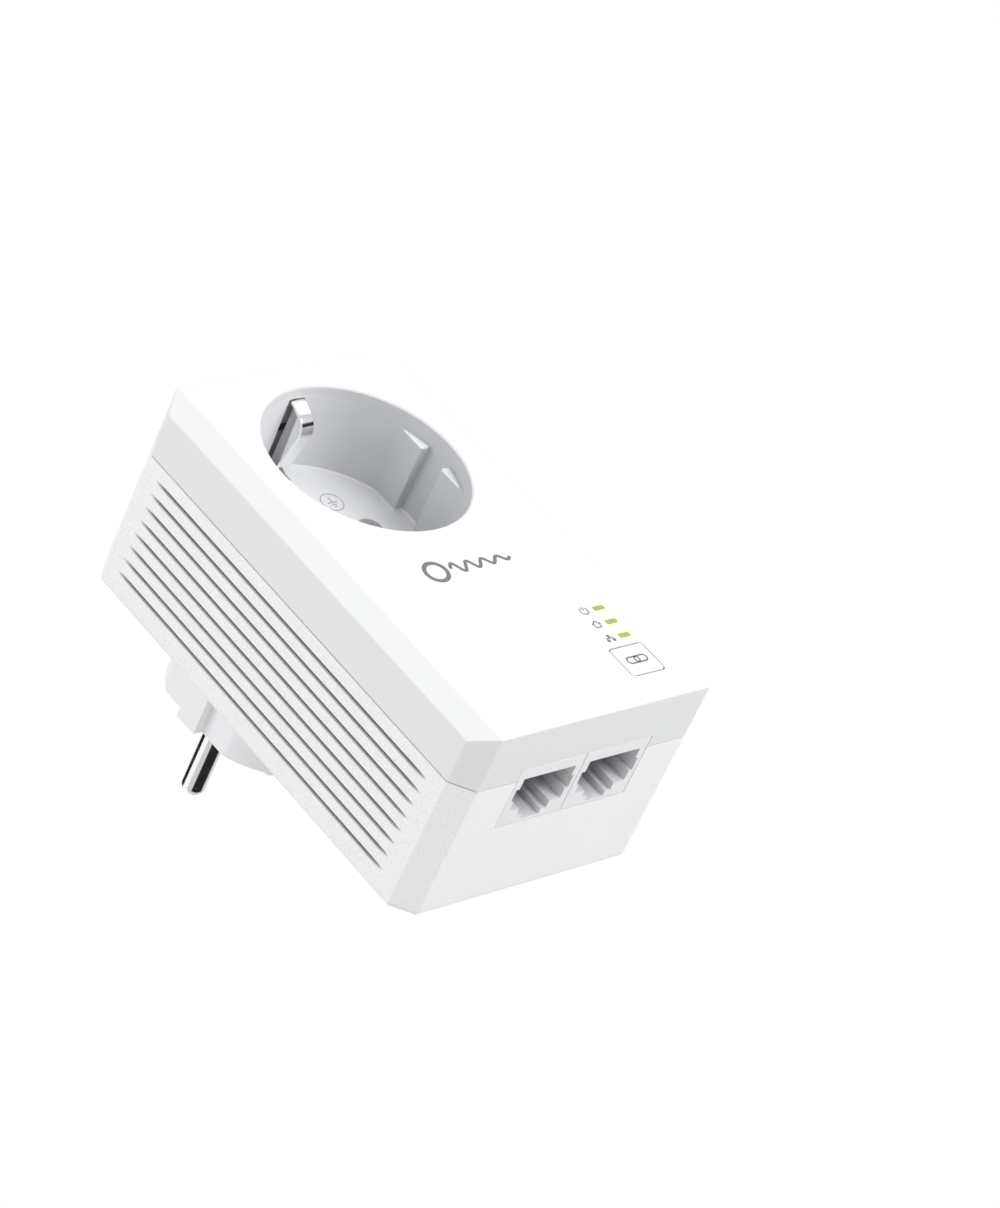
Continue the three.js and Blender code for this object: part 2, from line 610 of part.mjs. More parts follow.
function boardScrews() {
  const logicBack = LOGIC_BOARD.y + LOGIC_BOARD.thickness;
  const [head, seat] = [POWER_BOARD.y - 1.4, POWER_BOARD.y - 0.1];
  return [
    ['logic_board_screw_upper', screw(1.9, 0.6, logicBack + 1.3, logicBack + 0.1, 4, ...boardPostSpots()[0])],
    ['logic_board_screw_lower', screw(1.9, 0.6, logicBack + 1.3, logicBack + 0.1, 4, ...boardPostSpots()[1])],
    ['power_board_screw_upper', screw(2.2, 0.9, head, seat, 39, ...powerPostSpots()[0])],
    ['power_board_screw_lower', screw(2.2, 0.9, head, seat, 39, ...powerPostSpots()[1])],
  ];
}

// Parts soldered on the back of the logic board: [name, x, z, width, height, thickness, finish].
const CHIPS = [
  ['main_chip', 2, -11, 12, 12, 1, FINISH.dark],
  ['memory_chip', -13, -10, 7, 10, 1.1, FINISH.dark],
  ['ethernet_transformer', 0, -26, 15, 7.2, 4.2, FINISH.dark],
  ['coupling_transformer', 20, -12, 8.5, 9, 6.5, FINISH.yellow],
  ['timing_crystal', 14, -22.5, 3.2, 2.5, 0.8, FINISH.steel],
];

function chip([, x, z, width, height, thickness]) {
  const y = LOGIC_BOARD.y + LOGIC_BOARD.thickness + 0.1;
  return block([x - width / 2, y, z - height / 2], [x + width / 2, y + thickness, z + height / 2]);
}

function heatSink() {
  const [, x, z, , , thickness] = CHIPS[0];
  const y = LOGIC_BOARD.y + LOGIC_BOARD.thickness + 0.2 + thickness;
  const half = 7;
  const plate = block([x - half, y, z - half], [x + half, y + 1.4, z + half]);
  const fins = Array.from({ length: 6 }, (_, i) => {
    const at = x - half + 0.5 + i * 2.6;
    return block([at - 0.5, y + 1, z - half], [at + 0.5, y + 6.5, z + half]);
  });
  return joined(plate, ...fins);
}

// ---------------------------------------------------------------- mains parts

const BOARD_FACE = POWER_BOARD.y - 0.1;

function transformerCore() {
  const [x, z] = [1, -11];
  const outer = block([x - 8, BOARD_FACE - 12, z - 7], [x + 8, BOARD_FACE - 0.4, z + 7]);
  const windows = SIDES.map(([, side]) => block(
    [x + side * 3.2, BOARD_FACE - 9.8, z - 10], [x + side * 6.2, BOARD_FACE - 2.6, z + 10]));
  return cutFrom(outer, ...windows);
}

// The winding is a ring round the core's middle leg, through both windows.
function transformerWinding() {
  const [x, z] = [1, -11];
  const outer = block([x - 5.9, BOARD_FACE - 9.5, z - 9.5], [x + 5.9, BOARD_FACE - 2.9, z + 9.5]);
  const inner = block([x - 3.5, BOARD_FACE - 14, z - 7.3], [x + 3.5, BOARD_FACE + 2, z + 7.3]);
  return cutFrom(outer, inner);
}

function bulkCapacitor() {
  const at = [-17, BOARD_FACE - 5.1, -18];
  const can = rodAlong('z', 5, 16, at, 28);
  const bead = cutFrom(rodAlong('z', 6, 0.9, [at[0], at[1], at[2] + 6], 28),
    rodAlong('z', 4.6, 3, [at[0], at[1], at[2] + 6], 28));
  return cutFrom(can, bead);
}

function xCapacitor() {
  return block([14.5, BOARD_FACE - 10.5, -17.5], [20.5, BOARD_FACE, -4.5]);
}

function mainsChoke() {
  const torus = new THREE.TorusGeometry(4.4, 1.8, 10, 24);
  torus.rotateY(Math.PI / 2).translate(17.5, BOARD_FACE - 6.3, -26);
  return solid(torus);
}

function fuse() {
  return rodAlong('x', 2.2, 9.5, [-3, BOARD_FACE - 2.3, -30.5], 20);
}

function varistor() {
  return rodAlong('x', 4, 3, [7, BOARD_FACE - 4.1, -30.5], 24);
}

function rectifier() {
  return block([-13.5, BOARD_FACE - 2.4, -34.5], [-9, BOARD_FACE, -29.5]);
}

function insulatingSheet() {
  return block([-26, 19.2, -30.6], [26, 19.5, -2]);
}

function ratingLabel() {
  return block([-17, HOUSING.depth - 0.35, -33], [17, HOUSING.depth - 0.1, -9]);
}

// ---------------------------------------------------------------- assembly

add('front_shell', frontShell(), FINISH.white);
add('rear_shell', rearShell(), FINISH.grained);
add('plug_body', plugBody(), FINISH.white);
for (const [name, side] of SIDES) add(`plug_pin_${name}`, plugPin(side), FINISH.chrome);
for (const [name, up] of ENDS) add(`plug_earth_strip_${name}`, plugEarthStrip(up), FINISH.chrome);

add('socket_well', socketWell(), FINISH.white);
for (const [name, up] of ENDS) add(`earth_clip_${name}`, earthClip(up), FINISH.chrome);
add('socket_shutter', socketShutter(), FINISH.dark);
add('shutter_spring', shutterSpring(), FINISH.steel);
add('contact_carrier', contactCarrier(), FINISH.grey);
add('live_contact', mainsContact(-1), FINISH.brass);
add('neutral_contact', mainsContact(1), FINISH.brass);
add('earth_yoke', earthYoke(), FINISH.brass);

for (const [name, side] of SIDES) {
  add(`network_jack_${name}`, networkJack(side), FINISH.white);
  add(`jack_contacts_${name}`, jackContacts(side), FINISH.brass);
}

add('pair_button', pairButton(), FINISH.white);
add('tact_switch', tactSwitch(), FINISH.dark);
add('tact_plunger', tactPlunger(), FINISH.dark);
add('light_pipe', lightPipe(), FINISH.clear);
LAMP.z.forEach((z, i) => add(`led_chip_${i + 1}`, ledChip(z), FINISH.clear));

add('logic_board', logicBoard(), FINISH.board);
for (const row of CHIPS) add(row[0], chip(row), row[6]);
add('heat_sink', heatSink(), FINISH.aluminium);

add('power_board', powerBoard(), FINISH.board);
add('transformer_core', transformerCore(), FINISH.dark);
add('transformer_winding', transformerWinding(), FINISH.yellow);
add('bulk_capacitor', bulkCapacitor(), FINISH.dark);
add('x_capacitor', xCapacitor(), FINISH.yellow);
add('mains_choke', mainsChoke(), FINISH.copper);
add('fuse', fuse(), FINISH.grey);
add('varistor', varistor(), FINISH.blue);
add('rectifier', rectifier(), FINISH.dark);
add('insulating_sheet', insulatingSheet(), FINISH.film);
add('rating_label', ratingLabel(), FINISH.aluminium);

for (const [across, sx] of SIDES) {
  for (const [along, sz] of ENDS) {
    add(`housing_screw_${along}_${across}`, housingScrew(sx * SCREW_AT.x, sz * SCREW_AT.z), FINISH.steel);
  }
}
for (const [name, whole] of boardScrews()) add(name, whole, FINISH.steel);

export default adapter;
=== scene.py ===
"""Visual model of a wall-plug powerline adapter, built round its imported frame.

The adapter stands upright: +Z up, the wall towards +Y, the middle of the plug's end face at
the origin. Every length is in metres; MM turns millimetres into metres.
"""

import json
import math

import bmesh
import bpy
import numpy as np
from mathutils import Matrix, Vector


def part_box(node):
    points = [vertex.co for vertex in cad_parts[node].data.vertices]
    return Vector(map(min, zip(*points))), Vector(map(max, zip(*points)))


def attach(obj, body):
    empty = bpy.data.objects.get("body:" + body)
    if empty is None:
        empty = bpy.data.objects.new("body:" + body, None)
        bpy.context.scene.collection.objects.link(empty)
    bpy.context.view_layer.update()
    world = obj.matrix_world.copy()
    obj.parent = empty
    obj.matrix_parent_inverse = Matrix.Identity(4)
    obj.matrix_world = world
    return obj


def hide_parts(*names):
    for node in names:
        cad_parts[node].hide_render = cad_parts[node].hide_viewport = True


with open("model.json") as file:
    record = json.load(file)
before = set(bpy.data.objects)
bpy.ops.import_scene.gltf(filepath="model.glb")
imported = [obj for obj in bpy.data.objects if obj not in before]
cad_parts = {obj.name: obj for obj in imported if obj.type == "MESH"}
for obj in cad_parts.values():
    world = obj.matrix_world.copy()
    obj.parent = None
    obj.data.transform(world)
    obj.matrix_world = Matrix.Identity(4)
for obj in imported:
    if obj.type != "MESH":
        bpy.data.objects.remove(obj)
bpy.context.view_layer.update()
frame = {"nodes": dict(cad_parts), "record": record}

bl_info = {
    "name": "Powerline adapter",
    "version": (1, 0, 0),
    "blender": (4, 5, 0),
    "location": "3D Viewport > Sidebar > Adapter",
    "description": "Builds a pass-through powerline adapter with a socket, a plug and two network jacks",
    "category": "Add Mesh",
}

MM = 0.001

# ---------------------------------------------------------------- places taken from the frame

SHELL_LOW, SHELL_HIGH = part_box("front_shell")
REAR_LOW, REAR_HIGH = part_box("rear_shell")
WELL_LOW, WELL_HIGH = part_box("socket_well")
PLUG_LOW, PLUG_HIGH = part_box("plug_body")
PIN_LOW, PIN_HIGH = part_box("plug_pin_right")
BUTTON_LOW, BUTTON_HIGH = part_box("pair_button")
SCREW_LOW, SCREW_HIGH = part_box("housing_screw_top_right")
LABEL_LOW, LABEL_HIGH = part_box("rating_label")

FACE = SHELL_LOW.y
BACK = REAR_HIGH.y
PLUG_END = PLUG_HIGH.y
HALF_WIDTH = REAR_HIGH.x
HALF_HEIGHT = (REAR_HIGH.z - REAR_LOW.z) / 2
MIDDLE = (REAR_HIGH.z + REAR_LOW.z) / 2
BOTTOM = REAR_LOW.z
WELL_Z = (WELL_LOW.z + WELL_HIGH.z) / 2
PIN_X = (PIN_LOW.x + PIN_HIGH.x) / 2
SCREW_X = (SCREW_LOW.x + SCREW_HIGH.x) / 2
SCREW_Z = (SCREW_LOW.z + SCREW_HIGH.z) / 2 - MIDDLE

SIDES = (("left", -1), ("right", 1))
ENDS = (("top", 1), ("bottom", -1))

# ---------------------------------------------------------------- fixed proportions of the housing

CORNER = 3.9 * MM
BEVEL_DEPTH = 2.6 * MM
WALL = 2 * MM
FRONT_END = FACE + 11.75 * MM
REAR_START = FACE + 12.05 * MM
TONGUE = 1.6 * MM
TONGUE_WALL = 0.8 * MM
SEAM_CLEARANCE = 0.3 * MM
BACK_FILLET = 1.5 * MM
WELL_RADIUS = 20 * MM
WELL_FLOOR_RADIUS = 19.5 * MM
WELL_OUTER = 21.6 * MM
WELL_FLOOR = FACE + 18.3 * MM
WELL_BASE = FACE + 19.5 * MM
SOCKET_HOLE = 2.5 * MM
SCREW_SEAT = FACE + 24.3 * MM
PIN_RADIUS = 2.4 * MM
PIN_HEAD_END = FACE + 38.3 * MM
PLUG_RADIUS = 19 * MM
PLUG_FLAT = 16.8 * MM
PLUG_RIB = 2.6 * MM
FLANGE_RADIUS = 21.4 * MM
FLANGE_END = BACK - WALL - 0.2 * MM
JACK_PITCH = 15.95 * MM
JACK_HALF = 7.875 * MM
JACK_TOP = FACE + 9.4 * MM
JACK_HEIGHT = 13.3 * MM
JACK_MOUTH = FACE + 11.7 * MM
JACK_DEEP = BOTTOM + 13.4 * MM
JACK_GAP = 0.15 * MM
JACK_WINDOW_HALF = JACK_PITCH / 2 + JACK_HALF + JACK_GAP
LAMP_X = 18 * MM
LAMP_Z = tuple(MIDDLE + z * MM for z in (-24.2, -27.85, -31.5))
LAMP_HALF = (1.25 * MM, 0.475 * MM)
BUTTON_X = (BUTTON_LOW.x + BUTTON_HIGH.x) / 2
BUTTON_Z = (BUTTON_LOW.z + BUTTON_HIGH.z) / 2
BUTTON_HALF = (4.0 * MM, 3.45 * MM)
LABEL_X = (LABEL_LOW.x + LABEL_HIGH.x) / 2
LABEL_Z = (LABEL_LOW.z + LABEL_HIGH.z) / 2
PAST = 1 * MM  # how far a cutting tool reaches past the surface it cuts


# ---------------------------------------------------------------- settings

def length(name, description, default):
    return bpy.props.FloatProperty(
        name=name, description=description, default=default, unit="LENGTH", precision=5)


def colour(name, description, default):
    return bpy.props.FloatVectorProperty(
        name=name, description=description, default=default, size=3, min=0, max=1, subtype="COLOR")


class AdapterSizes(bpy.types.PropertyGroup):
    edge: length("Edge", "Radius along the housing's outer edges", 0.3 * MM)
    lip: length("Well lip", "Radius round the mouth of the socket well", 0.45 * MM)
    groove_width: length("Groove width", "Width of a side groove at the surface", 0.8 * MM)
    groove_depth: length("Groove depth", "Depth of a side groove at its middle", 1.5 * MM)
    groove_taper: length("Groove taper", "Length over which a groove runs out at each tip", 5 * MM)
    groove_pitch: length("Groove pitch", "Distance from one groove to the next", 3.02 * MM)
    groove_count: bpy.props.IntProperty(name="Grooves", description="Grooves on each side", default=8, min=1)
    button_gap: length("Button gap", "Gap round the pair button", 0.2 * MM)
    print_height: length("Print height", "How far printed marks stand off the plastic", 0.02 * MM)


class AdapterColours(bpy.types.PropertyGroup):
    white: colour("White", "Front shell and button", (0.815, 0.822, 0.82))
    grained: colour("Grained white", "Rear shell", (0.915, 0.92, 0.92))
    well: colour("Socket white", "Socket well and plug body", (0.89, 0.895, 0.905))
    jack: colour("Jack white", "Network jacks", (0.86, 0.86, 0.875))
    nickel: colour("Nickel", "Pins and earth strips", (0.93, 0.93, 0.935))
    steel: colour("Steel", "Screws and springs", (0.50, 0.51, 0.53))
    brass: colour("Brass", "Sleeves and strips behind the socket", (0.72, 0.52, 0.22))
    gold: colour("Gold plating", "Network jack contacts", (0.95, 0.70, 0.30))
    dark: colour("Dark plastic", "Shutter, switch and chips", (0.035, 0.036, 0.04))
    print_grey: colour("Print", "Printed marks on the front", (0.16, 0.165, 0.17))
    lamp: colour("Lamp", "Lit windows", (0.25, 0.32, 0.11))
    glow: colour("Glow", "Light spilling round the lit windows", (0.80, 0.93, 0.52))


def sizes():
    return bpy.context.scene.adapter_sizes


def colours():
    return bpy.context.scene.adapter_colours


# ---------------------------------------------------------------- outlines

def rounded(corners, radius, steps=4):
    """A closed outline of straight sides, each corner replaced by an arc that touches both sides.

    The arc's centre lies at `radius` from both sides, and the arc turns as much as the corner does.
    """
    corners = np.asarray(corners, float)
    before = corners - np.roll(corners, 1, axis=0)
    after = np.roll(corners, -1, axis=0) - corners
    before /= np.linalg.norm(before, axis=1, keepdims=True)
    after /= np.linalg.norm(after, axis=1, keepdims=True)
    cross = before[:, 0] * after[:, 1] - before[:, 1] * after[:, 0]
    turn = np.arctan2(cross, (before * after).sum(axis=1))
    radius = np.broadcast_to(np.asarray(radius, float), len(corners))[:, None]
    setback = radius * np.tan(np.abs(turn) / 2)[:, None]
    inward = np.sign(turn)[:, None] * np.column_stack([-before[:, 1], before[:, 0]])
    start = corners - before * setback
    centre = start + radius * inward
    first = np.arctan2(-inward[:, 1], -inward[:, 0])
    angle = first[:, None] + turn[:, None] * np.linspace(0, 1, steps + 1)
    arc = np.stack([np.cos(angle), np.sin(angle)], axis=-1)
    return (centre[:, None] + radius[:, None] * arc).reshape(-1, 2)


def rectangle(x, z, half_x, half_z):
    """Four corners in x and z, counter-clockwise."""
    return np.array([(x - half_x, z - half_z), (x + half_x, z - half_z),
                     (x + half_x, z + half_z), (x - half_x, z + half_z)])


def rounded_rectangle(x, z, half_x, half_z, radius):
    """Returns an outline as a function of how far it is drawn in from its own edge."""
    def outline(inset=0.0):
        return rounded(rectangle(x, z, half_x - inset, half_z - inset), max(radius - inset, 1e-6))
    return outline


def housing_corners(half_width, inset=0.0):
    """Eight corners in x and z: a rectangle cut by a 45 degree line at each corner."""
    half_height = HALF_HEIGHT - inset
    cut = HALF_WIDTH + HALF_HEIGHT - CORNER - inset * math.sqrt(2)
    x = min(half_width, cut - half_height)
    z = min(half_height, cut - half_width)
    ring = [(-half_width, -z), (-x, -half_height), (x, -half_height), (half_width, -z),
            (half_width, z), (x, half_height), (-x, half_height), (-half_width, z)]
    return np.array(ring) + (0, MIDDLE)


def plug_outline(inset=0.0):
    """The plug's section in x and z: two arcs joined on the left and right by a flat with a middle rib."""
    radius, flat, rib = PLUG_RADIUS - inset, PLUG_FLAT - inset, PLUG_RIB - inset
    start = math.acos(flat / radius)
    angle = np.linspace(start, math.pi - start, 49)
    upper = radius * np.column_stack([np.cos(angle), np.sin(angle)])
    tip = radius - 0.1 * MM
    left = np.array([(-flat, rib), (-tip, rib), (-tip, -rib), (-flat, -rib)])
    return np.vstack([upper, left, -upper, -left])


# ---------------------------------------------------------------- surfaces

def grid_quads(rows, columns, rows_close):
    """Quads between neighbouring points of a grid.

    The last column joins the first, and the last row joins the first if the rows close.
    """
    row = np.arange(rows if rows_close else rows - 1)
    row, column = np.meshgrid(row, np.arange(columns), indexing="ij")
    next_row, next_column = (row + 1) % rows, (column + 1) % columns
    quads = np.stack([row * columns + column, row * columns + next_column,
                      next_row * columns + next_column, next_row * columns + column], axis=-1)
    return quads.reshape(-1, 4)


def surface(name, points, rows_close=False):
    """A closed body from a grid of points whose columns close on each other.

    Rows that don't close on each other get a flat face at both ends.
    """
    rows, columns = points.shape[:2]
    faces = grid_quads(rows, columns, rows_close).tolist()
    if not rows_close:
        faces.append(np.arange(columns).tolist())
        faces.append(((rows - 1) * columns + np.arange(columns)).tolist())
    mesh = bpy.data.meshes.new(name)
    mesh.from_pydata(points.reshape(-1, 3).tolist(), [], faces)
    return close_up(named_object(name, mesh))


def named_object(name, mesh):
    """A new object in the scene with this mesh."""
    piece = bpy.data.objects.new(name, mesh)
    bpy.context.scene.collection.objects.link(piece)
    return piece


def close_up(piece, distance=1e-7):
    """Merges doubled points, drops faces with no area and turns every face outwards."""
    work = bmesh.new()
    work.from_mesh(piece.data)
    bmesh.ops.remove_doubles(work, verts=work.verts, dist=distance)
    bmesh.ops.dissolve_degenerate(work, edges=work.edges, dist=distance)
    bmesh.ops.recalc_face_normals(work, faces=work.faces)
    work.to_mesh(piece.data)
    work.free()
    return piece


def stacked(name, outline, levels):
    """An outline in x and z, drawn in by each level's inset and set at each level's y."""
    rings = [outline(inset) for inset, _ in levels]
    points = np.stack([np.column_stack([ring[:, 0], np.full(len(ring), y), ring[:, 1]])
                       for ring, (_, y) in zip(rings, levels)])
    return surface(name, points)


def quarter_round(radius, steps):
    """Pairs of (in, back) along a quarter round: one minus the cosine and one minus the sine of the turn."""
    turn = np.linspace(0, math.pi / 2, steps + 1)
    return np.column_stack([radius * (1 - np.cos(turn)), radius * (1 - np.sin(turn))])


def fillet(y, radius, towards, steps=4):
    """Levels of a quarter round that ends at y, as pairs of inset and y."""
    return [(inset, y - towards * back) for inset, back in quarter_round(radius, steps)]


def pillow(name, outline, y0, y1, radius):
    """A stacked outline from y0 to y1 with a quarter round at both ends."""
    return stacked(name, outline, fillet(y0, radius, -1)[::-1] + fillet(y1, radius, 1))


def turned(name, profile, x, z, steps=64):
    """A profile of (radius, y) points turned once about the axis along y through x, z."""
    profile = np.asarray(profile, float)
    angle = np.linspace(0, 2 * math.pi, steps, endpoint=False)
    radius = profile[:, :1]
    points = np.stack([x + radius * np.cos(angle), np.repeat(profile[:, 1:], steps, axis=1),
                       z + radius * np.sin(angle)], axis=-1)
    return surface(name, points)


def rod(name, radius, y0, y1, x, z, steps=48):
    """A plain cylinder along y: its half section turned about the axis."""
    return turned(name, [(0, y0), (radius, y0), (radius, y1), (0, y1)], x, z, steps)


def slab(name, low, high):
    """A plain block between two opposite corners, as four-point rings at its two depths."""
    outline = rectangle((low[0] + high[0]) / 2, (low[2] + high[2]) / 2,
                        abs(high[0] - low[0]) / 2, abs(high[2] - low[2]) / 2)
    return stacked(name, lambda inset: outline, [(0, low[1]), (0, high[1])])


def soft_block(name, low, high, radius, steps=3):
    """A block with round edges and corners: a sphere's grid added to the nearest corners of a smaller block.

    The sphere's grid holds its eight octants, so the corner's part stays and the flats open between them.
    """
    low, high = np.asarray(low, float), np.asarray(high, float)
    quarter = np.linspace(0, math.pi / 2, steps + 1)
    around = np.concatenate([quarter + k * math.pi / 2 for k in range(4)])
    sign_x = np.repeat([1, -1, -1, 1], steps + 1)
    sign_z = np.repeat([1, 1, -1, -1], steps + 1)
    rise = np.concatenate([quarter - math.pi / 2, quarter])
    sign_y = np.repeat([-1, 1], steps + 1)[:, None]
    middle, half = (low + high) / 2, (high - low) / 2 - radius
    points = np.stack([
        middle[0] + sign_x * half[0] + radius * np.cos(rise)[:, None] * np.cos(around),
        middle[1] + sign_y * half[1] + radius * np.sin(rise)[:, None] * np.ones_like(around),
        middle[2] + sign_z * half[2] + radius * np.cos(rise)[:, None] * np.sin(around),
    ], axis=-1)
    return surface(name, points)


def carried(name, section, path):
    """A section of (across, out) points carried along a path of (x, y, z) points that lies in a plane of x.

    `across` runs along x, and `out` along the path's own normal: its direction turned a quarter about x.
    """
    section, path = np.asarray(section, float), np.asarray(path, float)
    along = np.gradient(path, axis=0)
    along /= np.linalg.norm(along, axis=1, keepdims=True)
    across = np.array([1.0, 0.0, 0.0])
    out = np.cross(along, across)
    return surface(name, path[:, None] + section[None, :, :1] * across + section[None, :, 1:] * out[:, None])


# ---------------------------------------------------------------- joining, cutting, finishing

def settle(piece):
    """Makes the piece's modifiers part of its mesh."""
    bpy.context.view_layer.update()
    seen = piece.evaluated_get(bpy.context.evaluated_depsgraph_get())
    mesh = bpy.data.meshes.new_from_object(seen)
    old = piece.data
    piece.modifiers.clear()
    piece.data = mesh
    bpy.data.meshes.remove(old)
    return piece


def combine(piece, tools, operation):
    """Applies each tool to the piece in turn, then removes the tools."""
    for tool in tools:
        step = piece.modifiers.new(tool.name, "BOOLEAN")
        step.operation = operation
        step.object = tool
        step.solver = "MANIFOLD"
    settle(piece)
    for tool in tools:
        bpy.data.objects.remove(tool)
    return piece


def cut(piece, *tools):
    return combine(piece, tools, "DIFFERENCE")


def join(piece, *tools):
    return combine(piece, tools, "UNION")


def keep_inside(piece, tool):
    return combine(piece, [tool], "INTERSECT")


def ease(piece, radius):
    """Rounds every edge that turns more than 25 degrees."""
    step = piece.modifiers.new("edges", "BEVEL")
    step.width = radius
    step.segments = 3
    step.limit_method = "ANGLE"
    step.angle_limit = math.radians(25)
    step.use_clamp_overlap = True
    step.miter_outer = "MITER_ARC"
    return settle(piece)


def finish_piece(piece, body, nodes, slot, crease=32, material=None):
    """Shades the piece, gives it its finish, puts it on the body it rides, and hides the nodes it stands for.
    """
    piece.data.materials.clear()
    piece.data.materials.append(material or finish_of(slot))
    piece.data.shade_smooth()
    piece.data.set_sharp_from_angle(angle=math.radians(crease))
    step = piece.modifiers.new("flat_faces_stay_flat", "WEIGHTED_NORMAL")
    step.keep_sharp = True
    settle(piece)
    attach(piece, body)
    if nodes:
        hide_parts(*nodes)
    return piece


# ---------------------------------------------------------------- finishes

def new_group(name, inputs, outputs):
    """A shader node group with its sockets: inputs are (name, kind, default), outputs are (name, kind)."""
    group = bpy.data.node_groups.new(name, "ShaderNodeTree")
    for label, kind, default in inputs:
        made = group.interface.new_socket(label, in_out="INPUT", socket_type=kind)
        made.default_value = default
    for label, kind in outputs:
        group.interface.new_socket(label, in_out="OUTPUT", socket_type=kind)
    return group, group.nodes.new("NodeGroupInput"), group.nodes.new("NodeGroupOutput")


def node(tree, kind, links=(), **settings):
    """One node: `settings` are its properties, `links` pairs an input with the socket or value put there."""
    made = tree.nodes.new(kind)
    for key, value in settings.items():
        setattr(made, key, value)
    for key, value in links:
        if isinstance(value, bpy.types.NodeSocket):
            tree.links.new(value, made.inputs[key])
        else:
            made.inputs[key].default_value = value
    return made


def object_place(tree):
    """Where a point lies on the piece, in metres."""
    return node(tree, "ShaderNodeTexCoord").outputs["Object"]


def maths(tree, operation, first, second, clamp=False):
    """The result of one Math node on two sockets or values."""
    return node(tree, "ShaderNodeMath", [(0, first), (1, second)], operation=operation,
                use_clamp=clamp).outputs[0]


def vector_maths(tree, operation, first, second=(0, 0, 0), output="Vector"):
    """The result of one Vector Math node."""
    return node(tree, "ShaderNodeVectorMath", [(0, first), (1, second)], operation=operation).outputs[output]


def centred(tree, value, amount):
    """(value - 1/2) times amount."""
    return maths(tree, "MULTIPLY", maths(tree, "SUBTRACT", value, 0.5), amount)


def moulded_grain_group():
    """Height and tint of moulded plastic: fine grain from one noise, over slow cloudiness from another."""
    group, ins, outs = new_group(
        "moulded grain",
        [("Grains per metre", "NodeSocketFloat", 2500.0), ("Speckle", "NodeSocketFloat", 0.02),
         ("Cloud", "NodeSocketFloat", 0.01), ("Colour", "NodeSocketColor", (0.9, 0.9, 0.9, 1)),
         ("Roughness", "NodeSocketFloat", 0.4), ("Roughness spread", "NodeSocketFloat", 0.04)],
        [("Colour", "NodeSocketColor"), ("Height", "NodeSocketFloat"), ("Roughness", "NodeSocketFloat")])
    place = object_place(group)
    fine = node(group, "ShaderNodeTexNoise", [
        ("Vector", place), ("Scale", ins.outputs["Grains per metre"]), ("Detail", 2.0), ("Roughness", 0.55)])
    slow = node(group, "ShaderNodeTexNoise", [("Vector", place), ("Scale", 45.0), ("Detail", 2.0)])
    tint = centred(group, fine.outputs["Fac"], ins.outputs["Speckle"])
    cloud = centred(group, slow.outputs["Fac"], ins.outputs["Cloud"])
    factor = maths(group, "ADD", maths(group, "ADD", tint, cloud), 1.0)
    coloured = node(group, "ShaderNodeVectorMath", [(0, ins.outputs["Colour"]), ("Scale", factor)],
                    operation="SCALE")
    spread = centred(group, slow.outputs["Fac"], ins.outputs["Roughness spread"])
    rough = maths(group, "ADD", ins.outputs["Roughness"], spread)
    group.links.new(coloured.outputs[0], outs.inputs["Colour"])
    group.links.new(fine.outputs["Fac"], outs.inputs["Height"])
    group.links.new(rough, outs.inputs["Roughness"])
    return group


def brushed_group():
    """Roughness and height of drawn metal: a noise stretched along one axis, so its streaks run that way."""
    group, ins, outs = new_group(
        "drawn metal",
        [("Across per metre", "NodeSocketFloat", 3000.0), ("Roughness", "NodeSocketFloat", 0.2),
         ("Roughness spread", "NodeSocketFloat", 0.1)],
        [("Roughness", "NodeSocketFloat"), ("Height", "NodeSocketFloat")])
    stretched = node(group, "ShaderNodeMapping", [("Vector", object_place(group)), ("Scale", (1, 0.04, 1))])
    streaks = node(group, "ShaderNodeTexNoise", [
        ("Vector", stretched.outputs[0]), ("Scale", ins.outputs["Across per metre"]), ("Detail", 3.0)])
    spread = centred(group, streaks.outputs["Fac"], ins.outputs["Roughness spread"])
    group.links.new(maths(group, "ADD", ins.outputs["Roughness"], spread), outs.inputs["Roughness"])
    group.links.new(streaks.outputs["Fac"], outs.inputs["Height"])
    return group


def glow_group():
    """Nearness to the lit windows: one at a window's edge, falling to nothing over the reach."""
    group, ins, outs = new_group(
        "lamp glow", [("Reach", "NodeSocketFloat", 1.0 * MM)], [("Glow", "NodeSocketFloat")])
    place = object_place(group)
    total = 0.0
    for z in LAMP_Z:
        offset = vector_maths(group, "SUBTRACT", place, (LAMP_X, FACE, z))
        from_middle = vector_maths(group, "ABSOLUTE", offset)
        past_edge = vector_maths(group, "SUBTRACT", from_middle, (LAMP_HALF[0], 0, LAMP_HALF[1]))
        distance = vector_maths(group, "LENGTH", vector_maths(group, "MAXIMUM", past_edge), output="Value")
        near = node(group, "ShaderNodeMapRange", [
            ("Value", distance), ("From Min", 0.0), ("From Max", ins.outputs["Reach"]),
            ("To Min", 1.0), ("To Max", 0.0)], interpolation_type="SMOOTHSTEP")
        total = maths(group, "MAXIMUM", total, near.outputs[0])
    group.links.new(total, outs.inputs["Glow"])
    return group


def groove_shade_group():
    """How far a point lies inside the housing's side grooves, as a mask for painted shade: none at the wall,
    one past the full depth.
    """
    group, ins, outs = new_group("groove depth", [("Full depth", "NodeSocketFloat", 0.7 * MM)],
                                 [("Depth", "NodeSocketFloat")])
    place = node(group, "ShaderNodeSeparateXYZ", [("Vector", object_place(group))])
    from_middle = maths(group, "ABSOLUTE", place.outputs["X"], 0)
    below = maths(group, "SUBTRACT", HALF_WIDTH - 0.02 * MM, from_middle)
    deep = maths(group, "DIVIDE", below, ins.outputs["Full depth"], clamp=True)
    edges = [("Z", GROOVE_LOW, 1), ("Z", GROOVE_HIGH, -1), ("Y", GROOVE_FIRST - 1 * MM, 1),
             ("Y", BACK - 3 * MM, -1)]
    group.links.new(bounded(group, place, deep, edges), outs.inputs["Depth"])
    return group


